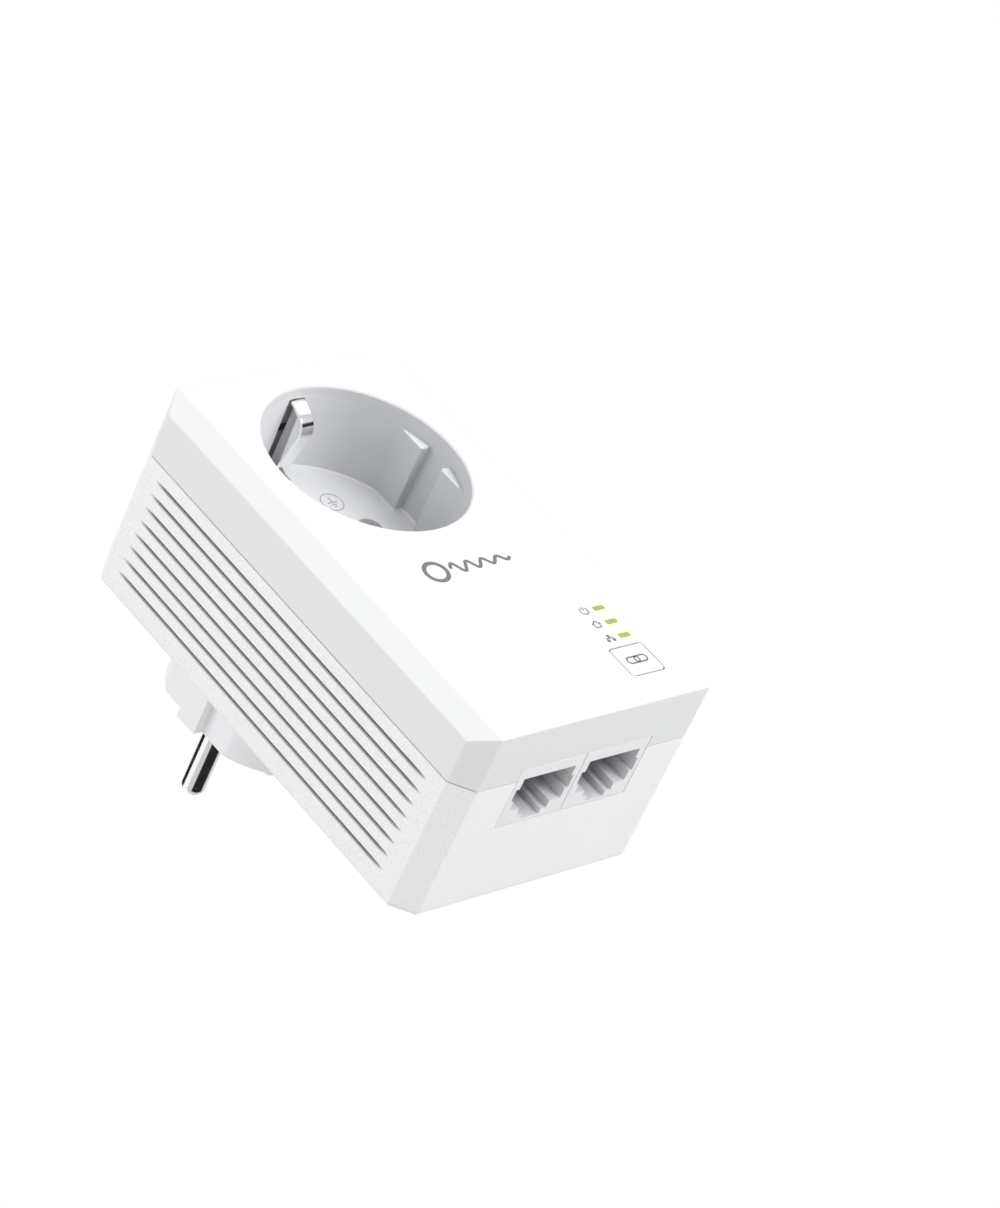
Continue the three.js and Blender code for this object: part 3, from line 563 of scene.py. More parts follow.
def bounded(tree, place, value, edges):
    """The value where the place lies on the named side of every edge, and none elsewhere.

    An edge is an axis, a height along it, and 1 for the side above it or -1 for the side below.
    """
    for axis, edge, side in edges:
        within = maths(tree, "GREATER_THAN" if side > 0 else "LESS_THAN", place.outputs[axis], edge)
        value = maths(tree, "MULTIPLY", value, within)
    return value


def gap_shade_group():
    """Mask for painted shade: one down in the front shell's narrow gaps: the seam to the rear shell, and
    round button and windows.
    """
    group, _, outs = new_group("painted gap shade", [], [("Depth", "NodeSocketFloat")])
    place = node(group, "ShaderNodeSeparateXYZ", [("Vector", object_place(group))])
    seam = bounded(group, place, 1.0, [("Y", FRONT_END + 0.02 * MM, 1)])
    windows = bounded(group, place, 1.0, [
        ("Y", FACE + 0.25 * MM, 1), ("X", BUTTON_X - 6 * MM, 1), ("X", LAMP_X + 4 * MM, -1),
        ("Z", BUTTON_Z - 5 * MM, 1), ("Z", LAMP_Z[0] + 2 * MM, -1)])
    group.links.new(maths(group, "MAXIMUM", seam, windows), outs.inputs["Depth"])
    return group


def well_shade_group():
    """Shade on the well's wall and guides: full on the right side, faint on the left, none on the floor."""
    group, ins, outs = new_group("well shade", [("Left share", "NodeSocketFloat", 0.15)],
                                 [("Shade", "NodeSocketFloat")])
    shifted = vector_maths(group, "SUBTRACT", object_place(group), (0, 0, WELL_Z))
    flat = vector_maths(group, "MULTIPLY", shifted, (1, 0, 1))
    radius = vector_maths(group, "LENGTH", flat, output="Value")
    place = node(group, "ShaderNodeSeparateXYZ", [("Vector", shifted)])
    wall = maths(group, "GREATER_THAN", radius, WELL_FLOOR_RADIUS - 0.2 * MM)
    guide = maths(group, "GREATER_THAN", radius, GUIDE_FACE - 0.6 * MM)
    guide = bounded(group, place, guide, [("Y", GUIDE_TOP + 0.3 * MM, 1)])
    either = maths(group, "MAXIMUM", wall, guide)
    either = bounded(group, place, either, [("Y", FACE + 0.5 * MM, 1), ("Y", WELL_FLOOR - 0.3 * MM, -1)])
    either = maths(group, "MULTIPLY", either, maths(group, "LESS_THAN", radius, WELL_RADIUS + 0.6 * MM))
    share = node(group, "ShaderNodeMapRange", [
        ("Value", place.outputs["X"]), ("From Min", -4 * MM), ("From Max", 15 * MM),
        ("To Min", ins.outputs["Left share"]), ("To Max", 1.0)], interpolation_type="SMOOTHSTEP")
    group.links.new(maths(group, "MULTIPLY", either, share.outputs[0]), outs.inputs["Shade"])
    return group


def recess_shade_group():
    """How far a point lies up inside the lower end, as a mask for painted shade: none at the end face, one
    past the full depth.
    """
    group, ins, outs = new_group("painted recess shade", [("Full height", "NodeSocketFloat", BOTTOM + 5 * MM)],
                                 [("Depth", "NodeSocketFloat")])
    place = node(group, "ShaderNodeSeparateXYZ", [("Vector", object_place(group))])
    deep = node(group, "ShaderNodeMapRange", [
        ("Value", place.outputs["Z"]), ("From Min", BOTTOM + 0.2 * MM),
        ("From Max", ins.outputs["Full height"])])
    group.links.new(deep.outputs[0], outs.inputs["Depth"])
    return group


def shaded_by(material, group, dark):
    """Paints shade or glow into the material's colour: mixes it towards `dark` by the first output of a mask
    group.
    """
    tree = material.node_tree
    shader = tree.nodes["Principled BSDF"]
    mask = node(tree, "ShaderNodeGroup", node_tree=group)
    mixed = node(tree, "ShaderNodeMix", data_type="RGBA")
    tree.links.new(mask.outputs[0], mixed.inputs["Factor"])
    tree.links.new(shader.inputs["Base Color"].links[0].from_socket, mixed.inputs["A"])
    mixed.inputs["B"].default_value = opaque(dark)
    tree.links.new(mixed.outputs["Result"], shader.inputs["Base Color"])
    return material


def shared(name, make):
    """The node group of that name, made the first time it's asked for."""
    return bpy.data.node_groups.get(name) or make()


def principled(name, **constants):
    """A new material with its Principled shader; constants go straight onto the shader's own sockets."""
    material = bpy.data.materials.new(name)
    material.use_nodes = True
    shader = material.node_tree.nodes["Principled BSDF"]
    for key, value in constants.items():
        shader.inputs[key.replace("_", " ")].default_value = value
    return material, material.node_tree, shader


def opaque(rgb):
    return (*rgb, 1)


LAMP_BRIGHT = (0.38, 0.44, 0.19)

# Painted shade: what the plain colours turn into where little light reaches.
PAINTED_GAP_SHADE = (0.12, 0.12, 0.125)
WELL_SHADE = (0.58, 0.59, 0.61)
PAINTED_GROOVE_SHADE = (0.15, 0.15, 0.155)
JACK_SHADE = (0.40, 0.40, 0.42)


def moulded(name, rgb, roughness, grains=2500.0, speckle=0.015, bump=0.004 * MM, cloud=0.008):
    """Moulded plastic or anything as even: grained, slightly cloudy, of one colour."""
    material, tree, shader = principled(name, IOR=1.46)
    grain = node(tree, "ShaderNodeGroup", node_tree=shared("moulded grain", moulded_grain_group))
    grain.inputs["Colour"].default_value = opaque(rgb)
    grain.inputs["Grains per metre"].default_value = grains
    grain.inputs["Speckle"].default_value = speckle
    grain.inputs["Cloud"].default_value = cloud
    grain.inputs["Roughness"].default_value = roughness
    raised = node(tree, "ShaderNodeBump", [("Height", grain.outputs["Height"]), ("Strength", 1.0),
                                           ("Distance", bump)])
    tree.links.new(grain.outputs["Colour"], shader.inputs["Base Color"])
    tree.links.new(grain.outputs["Roughness"], shader.inputs["Roughness"])
    tree.links.new(raised.outputs[0], shader.inputs["Normal"])
    return material


def metal(name, rgb, roughness, spread=0.08):
    """Drawn or plated metal with fine streaks."""
    material, tree, shader = principled(name, Metallic=1.0, Base_Color=opaque(rgb))
    drawn = node(tree, "ShaderNodeGroup", node_tree=shared("drawn metal", brushed_group))
    drawn.inputs["Roughness"].default_value = roughness
    drawn.inputs["Roughness spread"].default_value = spread
    raised = node(tree, "ShaderNodeBump", [("Height", drawn.outputs["Height"]), ("Strength", 1.0),
                                           ("Distance", 0.001 * MM)])
    tree.links.new(drawn.outputs["Roughness"], shader.inputs["Roughness"])
    tree.links.new(raised.outputs[0], shader.inputs["Normal"])
    return material


def front_white():
    """Satin white: painted shade in the gaps and round the well's mouth, and a painted glow from the lamps
    close to them.
    """
    material = moulded("white_satin", colours().white, 0.42, grains=4000.0, speckle=0.006)
    shaded_by(material, shared("painted gap shade", gap_shade_group), PAINTED_GAP_SHADE)
    shaded_by(material, shared("well shade", well_shade_group), WELL_SHADE)
    # Painted glow from the lit windows on the white round them.
    return shaded_by(material, shared("lamp glow", glow_group), colours().glow)


def button_white():
    """The front's white, a little grainier, with painted shade down in the gap round the button."""
    material = moulded("button_white", colours().white, 0.45, 3500.0, 0.03, 0.008 * MM)
    return shaded_by(material, shared("painted gap shade", gap_shade_group), PAINTED_GAP_SHADE)


def well_white():
    """Plain white with soft shade on the well's wall."""
    material = moulded("socket_white", colours().well, 0.4, 3500.0, 0.008)
    return shaded_by(material, shared("well shade", well_shade_group), WELL_SHADE)


def rear_white():
    """Grained white with painted shade down in the grooves."""
    material = moulded("white_grained", colours().grained, 0.55, 4500.0, 0.5, 0.03 * MM)
    return shaded_by(material, shared("groove depth", groove_shade_group), PAINTED_GROOVE_SHADE)


def jack_white():
    """Plain white with painted shade up inside the jacks."""
    material = moulded("jack_plastic", colours().jack, 0.5, 4500.0, 0.12, 0.01 * MM)
    return shaded_by(material, shared("painted recess shade", recess_shade_group), JACK_SHADE)


def lamp_green():
    """A lit window: two greens mixed by a fine noise, faintly glowing."""
    material, tree, shader = principled("lamp_green", Roughness=0.25, Emission_Strength=0.06)
    shade = node(tree, "ShaderNodeTexNoise", [("Vector", object_place(tree)), ("Scale", 1800.0)])
    greens = node(tree, "ShaderNodeMix", [("A", opaque(colours().lamp)), ("B", opaque(LAMP_BRIGHT))],
                  data_type="RGBA")
    tree.links.new(shade.outputs["Fac"], greens.inputs["Factor"])
    tree.links.new(greens.outputs["Result"], shader.inputs["Base Color"])
    tree.links.new(greens.outputs["Result"], shader.inputs["Emission Color"])
    return material


def circuit_board(name, rgb):
    """Solder mask over copper: a brick pattern of two close shades with brighter tracks between them."""
    material, tree, shader = principled(name, Roughness=0.35, Coat_Weight=0.3)
    tracks = node(tree, "ShaderNodeTexBrick", [("Vector", object_place(tree)), ("Scale", 260.0)])
    for label, factor in (("Color1", 1.0), ("Color2", 0.85), ("Mortar", 1.5)):
        tracks.inputs[label].default_value = opaque([min(1, c * factor) for c in rgb])
    tree.links.new(tracks.outputs["Color"], shader.inputs["Base Color"])
    return material


def copper_wound(name, rgb, metallic):
    """Turns of enamelled wire or tape: bands along one axis with a soft round section."""
    material, tree, shader = principled(name, Roughness=0.35, Metallic=metallic, Base_Color=opaque(rgb))
    bands = node(tree, "ShaderNodeTexWave", [("Vector", object_place(tree)), ("Scale", 180.0),
                                             ("Distortion", 0.6)], bands_direction="Z")
    raised = node(tree, "ShaderNodeBump", [("Height", bands.outputs["Fac"]), ("Strength", 1.0),
                                           ("Distance", 0.15 * MM)])
    tree.links.new(raised.outputs[0], shader.inputs["Normal"])
    return material


# How each finish of the frame's record is made, by the name of its slot.
FINISHES = {
    "white_satin": front_white,
    "white_grained": rear_white,
    "button_white": button_white,
    "socket_white": well_white,
    "shutter_dark": lambda: moulded("shutter_dark", colours().dark, 0.5),
    "inner_plastic": lambda: moulded("inner_plastic", (0.45, 0.46, 0.47), 0.5, 2500.0, 0.04),
    "nickel_pins": lambda: metal("nickel_pins", colours().nickel, 0.12, 0.03),
    "nickel_strip": lambda: metal("nickel_strip", colours().nickel, 0.13, 0.06),
    "spring_steel": lambda: metal("spring_steel", colours().steel, 0.25),
    "contact_brass": lambda: metal("contact_brass", colours().brass, 0.28),
    "jack_plastic": jack_white,
    "gold_contacts": lambda: metal("gold_contacts", colours().gold, 0.2),
    "component_black": lambda: moulded(
        "component_black", (0.03, 0.03, 0.032), 0.6, 1800.0, 0.2, 0.01 * MM),
    "lamp_green": lamp_green,
    "led_resin": lambda: moulded("led_resin", (0.75, 0.8, 0.45), 0.3),
    "board_green": lambda: circuit_board("board_green", (0.02, 0.11, 0.05)),
    "board_tan": lambda: circuit_board("board_tan", (0.30, 0.20, 0.09)),
    "tape_yellow": lambda: copper_wound("tape_yellow", (0.78, 0.55, 0.06), 0.0),
    "screw_steel": lambda: metal("screw_steel", colours().steel, 0.3, 0.12),
    "heat_sink_aluminium": lambda: metal("heat_sink_aluminium", (0.62, 0.63, 0.65), 0.35, 0.12),
    "ferrite": lambda: moulded("ferrite", (0.045, 0.045, 0.05), 0.65, 1500.0, 0.3, 0.02 * MM),
    "capacitor_sleeve": lambda: moulded("capacitor_sleeve", (0.02, 0.025, 0.05), 0.3),
    "capacitor_box": lambda: moulded("capacitor_box", (0.72, 0.52, 0.07), 0.4, 2000.0, 0.05),
    "copper_wire": lambda: copper_wound("copper_wire", (0.80, 0.36, 0.16), 1.0),
    "fuse_body": lambda: moulded("fuse_body", (0.42, 0.40, 0.36), 0.35, 1500.0, 0.08),
    "varistor_blue": lambda: moulded("varistor_blue", (0.03, 0.10, 0.32), 0.35, 1500.0, 0.08),
    "insulating_film": lambda: moulded("insulating_film", (0.05, 0.05, 0.05), 0.3),
    "label_silver": lambda: metal("label_silver", (0.72, 0.73, 0.74), 0.45, 0.1),
}


def finish_of(slot):
    """The slot's finish, made the first time it's asked for. The frame's materials keep the bare names."""
    name = f"{slot} finish"
    made = bpy.data.materials.get(name)
    if made is None:
        made = FINISHES[slot]()
        made.name = name
    return made


def print_ink():
    made = bpy.data.materials.get("print_grey")
    return made or moulded("print_grey", colours().print_grey, 0.5, 5000.0, 0.06)


# ---------------------------------------------------------------- the front shell

def bevelled_body(name, inset, depths):
    """The front shell's form: the housing's outline, with a sloping plane along each long side.

    The slope's half-width grows in proportion to the depth until it meets the side wall.
    """
    slope = math.hypot(CORNER, BEVEL_DEPTH)
    depths = np.asarray(depths)
    sloped = HALF_WIDTH - CORNER + (depths - FACE) * CORNER / BEVEL_DEPTH - inset * slope / BEVEL_DEPTH
    half_widths = np.minimum(HALF_WIDTH - inset, sloped)
    rings = np.stack([housing_corners(half, inset) for half in half_widths])
    points = np.stack([rings[..., 0], np.repeat(depths[:, None], 8, axis=1), rings[..., 1]], axis=-1)
    return surface(name, points)


def jack_window(name, y0, y1):
    """A cutter for the opening that both jacks share in the lower end."""
    return slab(name, (-JACK_WINDOW_HALF, y0, BOTTOM - 5 * MM), (JACK_WINDOW_HALF, y1, BOTTOM + 5 * MM))


def flared_hole(name, outline, flare, depth):
    """A cutter for a hole that widens as a quarter round up to the face, and runs straight behind it."""
    mouth = [(-back, FACE + inset) for inset, back in quarter_round(flare, 4)]
    return stacked(name, outline, [(-flare, FACE - PAST), *mouth, (0, FACE + depth)])


def at_screws(make):
    """Makes one thing at each housing screw's place in x and z."""
    return [make(sx * SCREW_X, MIDDLE + sz * SCREW_Z) for _, sx in SIDES for _, sz in ENDS]


def build_front_shell():
    """The bevelled shell, hollowed, with a tongue, four screw posts and its openings."""
    size = sizes()
    shell = bevelled_body("front_shell_skin", 0, [FACE, FACE + BEVEL_DEPTH, FRONT_END + 2 * MM])
    ease(shell, size.edge)
    cut(shell,
        slab("behind", (-0.1, FRONT_END, BOTTOM - 0.1), (0.1, FRONT_END + 9 * MM, SHELL_HIGH.z + 0.1)),
        bevelled_body("hollow", WALL, [FACE + WALL, FACE + WALL + BEVEL_DEPTH, FRONT_END + PAST]))

    def outline(inset):
        return housing_corners(HALF_WIDTH - inset, inset)

    outside = WALL - TONGUE_WALL
    ring = stacked("tongue", outline, [(outside, FRONT_END - 0.5 * MM), (outside, FRONT_END + TONGUE)])
    cut(ring, stacked("tongue_hollow", outline, [(WALL, FACE), (WALL, FRONT_END + TONGUE + PAST)]))
    posts = at_screws(lambda x, z: rod("post", 3 * MM, FACE + 1.5 * MM, SHELL_HIGH.y, x, z))
    join(shell, ring, *posts)
    lip = size.lip
    mouth = [(WELL_RADIUS + back, FACE + inset) for inset, back in quarter_round(lip, 6)]
    bore = turned("bore", [(0, FACE - PAST), (WELL_RADIUS + lip, FACE - PAST), *mouth,
                           (WELL_RADIUS, FACE + 5 * MM), (0, FACE + 5 * MM)], 0, WELL_Z, 160)
    button = rounded_rectangle(BUTTON_X, BUTTON_Z, BUTTON_HALF[0] + size.button_gap,
                               BUTTON_HALF[1] + size.button_gap, 0.85 * MM)
    lamp_gap = 0.05 * MM
    windows = [flared_hole("window", rounded_rectangle(LAMP_X, z, LAMP_HALF[0] + lamp_gap,
                                                       LAMP_HALF[1] + lamp_gap, 0.25 * MM), 0.08 * MM, 3 * MM)
               for z in LAMP_Z]
    pilots = at_screws(lambda x, z: rod("pilot", 1.5 * MM, FACE + 12 * MM, SHELL_HIGH.y + PAST, x, z))
    cut(shell, bore, flared_hole("button_hole", button, 0.12 * MM, 3 * MM), *windows, *pilots,
        jack_window("jack_window", JACK_TOP - JACK_GAP, FACE + 20 * MM))
    return finish_piece(shell, "root", ["front_shell"], "white_satin")


# ---------------------------------------------------------------- the rear shell

GROOVE_LOW = MIDDLE - 40.5 * MM
GROOVE_HIGH = MIDDLE + 41.2 * MM
GROOVE_FIRST = FACE + 15.1 * MM


def smooth(t):
    """Three t squared minus two t cubed: rises from nothing to one, level at both ends."""
    t = np.clip(t, 0, 1)
    return t * t * (3 - 2 * t)


def groove_fade(z, taper):
    """One along the middle of a groove, falling smoothly to nothing at both tips."""
    return smooth((z - GROOVE_LOW) / taper) * smooth((GROOVE_HIGH - z) / taper)


def long_side_rungs(taper):
    """Heights at which the long sides are sampled: close together where grooves taper, far apart between."""
    tip = np.linspace(0, taper * 1.02, 22)
    between = np.linspace(GROOVE_LOW, GROOVE_HIGH, 14)[2:-2]
    return np.unique(np.concatenate([[GROOVE_LOW - 1 * MM], GROOVE_LOW + tip, between, GROOVE_HIGH - tip]))


def rear_outline(inset, rungs):
    """The housing's rounded outline, with a point at every rung on both long sides, counter-clockwise."""
    half = HALF_WIDTH - inset
    radius = max(0.35 * MM - inset * 0.1, 0.05 * MM)
    arcs = rounded(housing_corners(half, inset), radius, 3).reshape(8, -1, 2)
    right = np.column_stack([np.full(len(rungs), half), rungs])
    left = np.column_stack([np.full(len(rungs), -half), rungs[::-1]])
    return np.vstack([arcs[:4].reshape(-1, 2), right, arcs[4:].reshape(-1, 2), left])


def rear_skin(size):
    """The rear shell as one grid: the tray's profile carried round the housing's outline.

    In a groove, rows move along y by s * w * f ** 0.22 and are drawn in by d * f * (1 - |s| ** 1.7). Here s
    runs from -1 to 1 across the groove, w is half its width, d its depth, and f fades to nothing at its tips.
    """
    rungs = long_side_rungs(size.groove_taper)
    across = np.sin(np.linspace(-math.pi / 2, math.pi / 2, 15))
    number = np.arange(size.groove_count)
    middles = np.repeat(GROOVE_FIRST + number * size.groove_pitch, len(across))
    shares = np.tile(across, size.groove_count)
    rebate = WALL - TONGUE_WALL - SEAM_CLEARANCE
    inner = [(WALL, BACK - WALL), (WALL, REAR_START + TONGUE), (rebate, REAR_START + TONGUE),
             (rebate, REAR_START)]
    front = [(0.15 * MM, REAR_START), (0.04 * MM, REAR_START + 0.04 * MM), (0, REAR_START + 0.15 * MM)]
    back = fillet(BACK, BACK_FILLET, 1, 6)
    inset = np.array([i for i, _ in inner + front] + [0] * len(middles) + [i for i, _ in back])
    depth = np.array([y for _, y in inner + front] + list(middles) + [y for _, y in back])
    share = np.concatenate([np.full(len(inner + front), np.nan), shares, np.full(len(back), np.nan)])
    rings = np.stack([rear_outline(i, rungs) for i in inset])
    x, z = rings[..., 0], rings[..., 1]
    y = np.repeat(depth[:, None], x.shape[1], axis=1)
    on_side = np.abs(np.abs(x) - (HALF_WIDTH - inset[:, None])) < 1e-9
    fade = np.where(on_side, groove_fade(z, size.groove_taper), 0)
    row_share = np.nan_to_num(share)[:, None]
    in_groove = ~np.isnan(share)[:, None]
    narrow = np.maximum(fade ** 0.22, 0.03)
    y = y + np.where(in_groove, row_share * narrow * size.groove_width / 2, 0)
    drawn_in = np.where(in_groove, size.groove_depth * fade * (1 - np.abs(row_share) ** 1.7), 0)
    x = x - np.sign(x) * drawn_in
    return surface("rear_shell_skin", np.stack([x, y, z], axis=-1))


def build_rear_shell():
    """The grooved tray with four screw towers, the label's bed, the plug's hole and the jacks' opening."""
    size = sizes()
    shell = rear_skin(size)
    towers = at_screws(lambda x, z: rod("tower", 4.3 * MM, SCREW_SEAT, BACK - WALL + 0.5 * MM, x, z))
    join(shell, *towers)
    radius, lip = 2.9 * MM, 0.3 * MM
    mouth = [(radius + back, BACK - inset) for inset, back in quarter_round(lip, 3)][::-1]
    well_floor = SCREW_SEAT + 2 * MM
    profile = [(0, well_floor), (radius, well_floor), *mouth, (radius + lip, BACK + PAST), (0, BACK + PAST)]
    wells = at_screws(lambda x, z: turned("well", profile, x, z, 48))
    holes = at_screws(lambda x, z: rod("hole", 1.6 * MM, SCREW_SEAT - PAST, BACK, x, z, 24))
    label_bed = pillow("label_bed", rounded_rectangle(LABEL_X, LABEL_Z, 17.5 * MM, 12.5 * MM, 1.5 * MM),
                       BACK - 0.4 * MM, BACK + 2 * MM, 0.05 * MM)
    plug_gap = 0.12 * MM
    cut(shell, *wells, *holes, label_bed,
        stacked("plug_hole", plug_outline, [(-plug_gap, BACK - WALL - PAST), (-plug_gap, BACK + PAST)]),
        jack_window("jack_window", FACE + 5 * MM, JACK_TOP + JACK_HEIGHT + JACK_GAP))
    return finish_piece(shell, "root", ["rear_shell"], "white_grained", 40)


# ---------------------------------------------------------------- the plug

def build_plug():
    """The boss with its flange, its stepped pin holes and its two strip grooves, then the pins and strips."""
    end = PLUG_END
    body = stacked("plug_body_skin", plug_outline, [(0, PLUG_LOW.y + 1 * MM), *fillet(end, 0.6 * MM, 1, 5)])
    join(body, rod("flange", FLANGE_RADIUS, PLUG_LOW.y, FLANGE_END, 0, 0, 96))
    head_bore, head_bore_end = 4.1 * MM, PIN_HEAD_END + 0.3 * MM
    bore, chamfer = PIN_RADIUS + 0.12 * MM, 0.4 * MM
    holes = [turned("pin_hole", [
        (0, PLUG_LOW.y - PAST), (head_bore, PLUG_LOW.y - PAST), (head_bore, head_bore_end),
        (bore, head_bore_end), (bore, end - chamfer), (bore + chamfer, end), (bore + chamfer, end + PAST),
        (0, end + PAST)], side * PIN_X, 0, 64) for _, side in SIDES]
    grooves = []
    groove_floor, groove_half = 16.8 * MM, 3.5 * MM
    for _, up in ENDS:
        # A strip's groove stays inside the flange, and past it is open to the outside.
        for start, outer in ((PLUG_LOW.y - 5 * MM, 18.3 * MM), (FLANGE_END, 30 * MM)):
            low, high = sorted((up * groove_floor, up * outer))
            grooves.append(slab("groove", (-groove_half, start, low), (groove_half, end + PAST, high)))
    cut(body, *holes, *grooves)
    finish_piece(body, "root", ["plug_body"], "socket_white")
    for name, side in SIDES:
        build_pin(name, side)
    for name, up in ENDS:
        build_plug_strip(name, up)


def build_pin(name, side):
    """A pin turned about its own axis: a head inside the plug, a plain shank, a domed tip."""
    head, chamfer = PIN_HIGH.x - PIN_X, 0.2 * MM
    dome = [(PIN_RADIUS - inset, y) for inset, y in fillet(PIN_HIGH.y, PIN_RADIUS, 1, 12)]
    pin = turned(f"plug_pin_{name}_turned",
                 [(0, PIN_LOW.y), (head - chamfer, PIN_LOW.y), (head, PIN_LOW.y + chamfer),
                  (head, PIN_HEAD_END), (PIN_RADIUS, PIN_HEAD_END), *dome], side * PIN_X, 0, 72)
    finish_piece(pin, "root", [f"plug_pin_{name}"], "nickel_pins")


def strip_section():
    """An earth strip's section: flat with round edges, and a low raised line along its middle."""
    half_width, thickness = 2.5 * MM, 0.8 * MM
    outline = rounded([(-half_width, 0), (half_width, 0), (half_width, thickness), (-half_width, thickness)],
                      0.12 * MM, 3)
    raised = np.array([(0.55, 0), (0.3, 0.1), (-0.3, 0.1), (-0.55, 0)]) * MM + (0, thickness)
    return np.vstack([outline[:12], raised, outline[12:]])


def build_plug_strip(name, up):
    """An earth strip in the plug's groove, bowed out along its middle like a raised cosine."""
    low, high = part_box(f"plug_earth_strip_{name}")
    y = np.linspace(low.y, high.y, 60)
    bow = 0.55 * MM * smooth(np.minimum(y - (FACE + 43.5 * MM), FACE + 57 * MM - y) / (3 * MM))
    path = np.column_stack([np.zeros_like(y), y, up * (17.1 * MM + bow)])
    strip = carried(f"plug_earth_strip_{name}_bent", strip_section() * (1, -up), path)
    finish_piece(strip, "root", [f"plug_earth_strip_{name}"], "nickel_strip", 40)


# ---------------------------------------------------------------- the socket well

CLIP_SLOT = 1.9 * MM
GUIDE_FACE = 17.4 * MM
GUIDE_SLOT = 2.9 * MM
GUIDE_REACH = 9.75 * MM
GUIDE_TOP = FACE + 3.5 * MM


def build_socket_well():
    """The cup with its four guide blocks, two pin holes, two slots for each clip, and the shutter's pivot."""
    base = WELL_BASE
    top = FACE + WALL + 0.02 * MM
    floor_round = [(WELL_FLOOR_RADIUS - inset, y) for inset, y in fillet(WELL_FLOOR, 0.35 * MM, 1, 3)]
    cup = turned("socket_well_cup", [
        (0, base), (WELL_OUTER, base), (WELL_OUTER, top), (WELL_RADIUS, top), *floor_round, (0, WELL_FLOOR)],
        0, WELL_Z, 160)
    guides = []
    for _, side in SIDES:
        for _, up in ENDS:
            inner, outer = sorted((side * GUIDE_FACE, side * 24 * MM))
            lower, upper = sorted((WELL_Z + up * GUIDE_SLOT, WELL_Z + up * GUIDE_REACH))
            guides.append(soft_block("guide", (inner, GUIDE_TOP, lower),
                                     (outer, WELL_FLOOR + 1 * MM, upper), 0.25 * MM))
    for guide in guides:
        keep_inside(guide, rod("bound", WELL_RADIUS + 0.8 * MM, FACE, WELL_FLOOR + 0.5 * MM, 0, WELL_Z, 160))
    join(cup, *guides)
    rim = 0.12 * MM
    holes = [turned("pin_hole", [
        (0, FACE), (SOCKET_HOLE + rim, FACE), (SOCKET_HOLE + rim, WELL_FLOOR),
        (SOCKET_HOLE, WELL_FLOOR + rim), (SOCKET_HOLE, base + PAST), (0, base + PAST)],
        side * PIN_X, WELL_Z, 64) for _, side in SIDES]
    slots = []
    for _, up in ENDS:
        # Each clip has a slot through the wall, where its end flexes, and one through the floor for its leg.
        for near, far, start in ((18.6, 30, FACE + 2.6 * MM), (15.2, 19, WELL_FLOOR - 0.2 * MM)):
            low, high = sorted((WELL_Z + up * near * MM, WELL_Z + up * far * MM))
            slots.append(slab("slot", (-CLIP_SLOT, start, low), (CLIP_SLOT, base + 5 * MM, high)))
    cut(cup, *holes, *slots)
    pivot = rod("pivot", 1.2 * MM, base - 0.5 * MM, WELL_HIGH.y, 0, WELL_Z, 32)
    collar = rod("collar", 2.4 * MM, base - 0.5 * MM, base + 0.25 * MM, 0, WELL_Z, 40)
    join(cup, pivot, collar)
    finish_piece(cup, "root", ["socket_well"], "socket_white", 38)


def clip_path(up):
    """The clip's middle line: a foot turned outwards, a leaning leg, a round knee and the end at the rim."""
    corners = np.array([(20.8, 19.7), (20.8, 17.75), (5.1, 14.55), (3.15, 19.1), (3.1, 19.75)])
    y, radius = rounded(corners * MM + (FACE, 0), np.array([0.01, 0.7, 3.2, 0.4, 0.01]) * MM, 14).T
    path = np.column_stack([np.zeros(len(y)), y, WELL_Z + up * radius])
    step = np.linalg.norm(np.diff(path, axis=0), axis=1)
    return path[np.concatenate([[True], step > 0.02 * MM])]


def clip_section(up):
    """The strip's section: round edges, and two shallow lengthwise grooves on the side that meets the plug.

    Across the width the inner face is drawn in by a depth times a raised cosine about each groove's middle.
    """
    half, thickness, edge = 1.5 * MM, 0.75 * MM, 0.2 * MM
    across = np.linspace(-half + edge, half - edge, 41)
    share = np.minimum(np.abs(np.abs(across) - 0.5 * MM) / (0.28 * MM), 1)
    inner = thickness / 2 - 0.16 * MM * (1 + np.cos(math.pi * share)) / 2
    turn = np.linspace(0, math.pi / 2, 5)[1:]
    right = np.column_stack([half - edge + edge * np.sin(turn), thickness / 2 - edge + edge * np.cos(turn)])
    back_right = right[::-1] * (1, -1)
    left = back_right[::-1] * (-1, 1)
    ring = np.vstack([np.column_stack([across, inner]), right, back_right, left, right[::-1] * (-1, 1)])
    return ring * (1, up)


def build_earth_clips():
    """Each clip is its section carried along its bent middle line."""
    for name, up in ENDS:
        clip = carried(f"earth_clip_{name}_bent", clip_section(up), clip_path(up))
        finish_piece(clip, f"earth_clip_{name}", [f"earth_clip_{name}"], "nickel_strip", 40)


# ---------------------------------------------------------------- network jacks

def jack_section(x):
    """The opening in x and y: the plug's body with a key slot on each side, then two steps for its latch."""
    half, key = 6.25, 0.7
    right = [(half, 0), (half, 2.4), (half + key, 2.4), (half + key, 5.4), (half, 5.4), (half, 7.6),
             (3.65, 7.6), (3.65, 9.2), (2.3, 9.2), (2.3, 10.35)]
    right = np.array(right) * MM + (0, JACK_MOUTH)
    left = right[::-1] * (-1, 1)
    return np.vstack([right, left]) + (x, 0)


def along_z(name, outline, z0, z1):
    """An outline in x and y carried straight up from z0 to z1."""
    outline = np.asarray(outline, float)
    points = np.stack([np.column_stack([outline, np.full(len(outline), z)]) for z in (z0, z1)])
    return surface(name, points)


